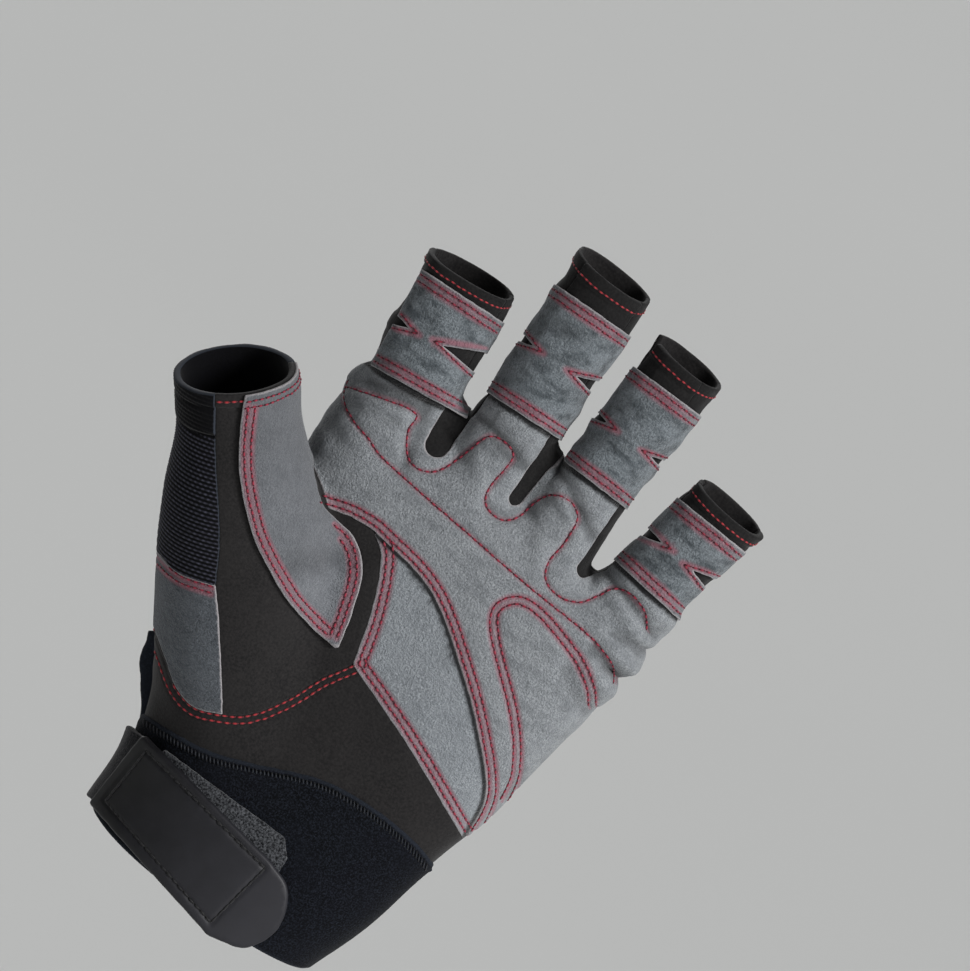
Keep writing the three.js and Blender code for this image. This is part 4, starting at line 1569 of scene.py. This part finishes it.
def ring_path(tree, name, height, start, stop, steps=60, lean=SIN):
    """A path round a finger, from one angle to another, where its drawn height is height(x)."""
    rows = np.array(FINGER_ROWS[name])
    out = []
    for angle in np.linspace(start, stop, steps):
        direction = Vector((math.cos(math.radians(angle)), -math.sin(math.radians(angle)), 0))
        x = float(np.mean(rows[-1, [0, 2]])) + 10 * direction[0]
        z = (height(x) - lean * 10 * direction[1]) / COS
        found = None
        for _ in range(3):
            middle = np.interp(z * COS, (rows[:, 1] + rows[:, 3]) / 2, (rows[:, 0] + rows[:, 2]) / 2)
            place, normal, _, _ = tree.ray_cast(Vector((middle, 0, z)), direction, 14.5)
            if place is None:
                break
            found = (place, normal)
            z += (height(place[0]) - (lean * place[1] + COS * place[2])) / COS
        if found:
            place, normal = found
            normal = np.array(normal)
            normal = normal if normal @ np.array(direction) > 0 else -normal
            out.append((*place, *normal))
    return np.array(out)


def thumb_path(name, depth, start, stop):
    """A path round the thumb, at a depth below its rim, from one angle to another."""
    tree, out = skin_tree([name]), []
    for angle in np.radians(np.linspace(start, stop, 50)):
        direction = math.cos(angle) * thumb_across + math.sin(angle) * thumb_back
        place, normal, _, _ = tree.ray_cast(Vector(thumb_end - depth * thumb_axis), Vector(direction), 18)
        if place is not None:
            normal = np.array(normal)
            out.append((*place, *(normal if normal @ direction > 0 else -normal)))
    return np.array(out)


def line_height(a, b, shift=0.0):
    """The height of a line through two places, as a function of x."""
    return lambda x: line_at(a, b, x) + shift


red = Thread("red_stitching", red_thread)
bright = Thread("bright_stitching", bright_thread)  # on black cloth
# the finger patches' stitches take the darker thread, as painted shade
dim = Thread("patch_stitching", shaded_red_thread)
for title, lines in {**double_lines, **single_lines}.items():
    for line in lines:
        (bright if title == "arc" else red).sew(projected(spaced(line, 0.6)))
for name, (low, high, left_notch, right_notch) in PATCHES.items():
    tree = skin_tree([f"{name}_patch_cloth"])
    for (a, b), sign in ((low, 1), (high, -1)):
        for shift in (near_row, far_row):
            dim.sew(ring_path(tree, name, line_height(a, b, sign * shift), 14, 166))
    for (tip, foot, top), side in ((left_notch, -1), (right_notch, 1)):
        mouth = tip[0] + side * NOTCH_REACH
        apex = (tip[0] - side * 1.6, tip[1])
        for z, shift in ((foot, -0.9), (top, 0.9)):
            line = line_height(apex, (mouth, z + shift))
            path = ring_path(tree, name, line, 13 if side > 0 else 167, 90)
            path = path[(path[:, 0] - apex[0]) * side > -0.2] if len(path) else path
            dim.sew(path, pitch=1.7)
    hem = line_height(FINGER_ROWS[name][-1][0:2], FINGER_ROWS[name][-1][2:4], -HEM_ROWS[name])
    around = skin_tree([f"{name}_sleeve_cloth", "back_panel_cloth", *(n for n in skins if "fourchette" in n)])
    bright.sew(ring_path(around, name, hem, -178, 178, 110, 0), pitch=1.5, radius=0.2)
for depth in (1.3, 2.8):
    red.sew(thumb_path("thumb_patch_cloth", depth, -105, 8), pitch=1.5)
bright.sew(thumb_path("thumb_gusset_cloth", 1.4, -150, -80), pitch=1.5)
for thread in (red, bright, dim):
    thread.finish()

tab_thread = Thread("tab_stitching", black_thread)
for row in tab_rows:
    tab_thread.sew(projected(spaced(row, 0.8)), pitch=1.9, radius=0.28)
tab_thread.finish()

overlock = Thread("cuff_overlock", cuff_thread)
cuff_path = projected(spaced(shifted(cuff_top, -0.6), 0.9))
down = np.array([0, 0, -1.0])
for p, q in zip(cuff_path, cuff_path[1:]):
    if np.linalg.norm(q[:3] - p[:3]) < 2:
        out = 0.15 * p[3:]
        overlock.stitch(p[:3] - 0.2 * down + 2.5 * out, q[:3] + 1.3 * down + out, p[3:], 0.17)
overlock.finish()


# Stage, light and camera


def stage_set():
    """A wide pale floor, well below the glove, which is held up."""
    reach, level = 40.0, -0.45
    corners = [(-reach, -reach, level), (reach, -reach, level), (reach, reach, level), (-reach, reach, level)]
    mesh = bpy.data.meshes.new("floor")
    mesh.from_pydata(corners, [], [(0, 1, 2, 3)])
    floor = bpy.data.objects.new("floor", mesh)
    bpy.context.scene.collection.objects.link(floor)
    paint = Paint("pale_floor", 0.95, Specular_IOR_Level=0.1)
    cloud = paint.ramp(paint.noise(900, 2), 0.3, 0.7)
    paint.color(paint.mix(cloud, tone(209, 210, 209), tone(212, 213, 212)))
    floor.data.materials.append(paint.material)
    floor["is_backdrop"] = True


def sun(name, toward, strength, angle):
    """Soft even light from a direction that is given by the picture's right, up and towards the camera."""
    data = bpy.data.lights.new(name, "SUN")
    data.energy, data.angle = strength, math.radians(angle)
    light = bpy.data.objects.new(name, data)
    across, rise, near = toward
    place = across * PICTURE_RIGHT + rise * PICTURE_UP - near * LOOK
    light.rotation_mode = "QUATERNION"
    light.rotation_quaternion = Vector(place).to_track_quat("Z", "Y")
    bpy.context.scene.collection.objects.link(light)


def camera_set():
    """The photograph's view: the hand turned by 35 degrees in the picture, seen from far off."""
    distance, width = 5000.0, 220.5
    centre = upright((1.07, 0, 110.2))
    data = bpy.data.cameras.new("camera")
    data.sensor_width = 36
    data.lens = 36 * distance / width
    data.clip_end = 100
    camera = bpy.data.objects.new("camera", data)
    turn = Matrix(np.stack([PICTURE_RIGHT, PICTURE_UP, -LOOK], 1).tolist())
    camera.matrix_world = Matrix.Translation(Vector((centre - LOOK * distance) * MM)) @ turn.to_4x4()
    bpy.context.scene.collection.objects.link(camera)
    bpy.context.scene.camera = camera


def low_light():
    """A soft light near the glove, at the lower right of the picture."""
    data = bpy.data.lights.new("near", "AREA")
    data.shape, data.size, data.energy = "DISK", 0.35, 0.9
    light = bpy.data.objects.new("near", data)
    place = 0.35 * PICTURE_RIGHT - 0.25 * PICTURE_UP - 0.45 * LOOK
    centre = upright((0, 0, 90)) * MM
    light.location = Vector(centre + place)
    light.rotation_mode = "QUATERNION"
    light.rotation_quaternion = Vector(place).to_track_quat("Z", "Y")
    bpy.context.scene.collection.objects.link(light)


def studio_air():
    """Weak even light from all round, before a backdrop as pale as the floor."""
    world = bpy.data.worlds.new("studio")
    world.use_nodes = True
    tree = world.node_tree
    seen = tree.nodes["Background"]
    seen.inputs["Color"].default_value = (1, 1, 1, 1)
    path = tree.nodes.new("ShaderNodeLightPath")
    strength = tree.nodes.new("ShaderNodeMapRange")
    strength.inputs["To Min"].default_value = 0.12
    strength.inputs["To Max"].default_value = 0.48
    tree.links.new(path.outputs["Is Camera Ray"], strength.inputs["Value"])
    tree.links.new(strength.outputs[0], seen.inputs["Strength"])
    bpy.context.scene.world = world


stage_set()
sun("key", (0.8, 0.06, 0.6), 2.6, 20)
low_light()
sun("behind", (-0.1, 0.6, -0.7), 0.9, 40)
studio_air()
bpy.context.scene.view_settings.view_transform = "Standard"
camera_set()

counts = {o.name: len(o.data.polygons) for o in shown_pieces() if o.type == "MESH"}
print("triangles", sum(counts.values()), counts)
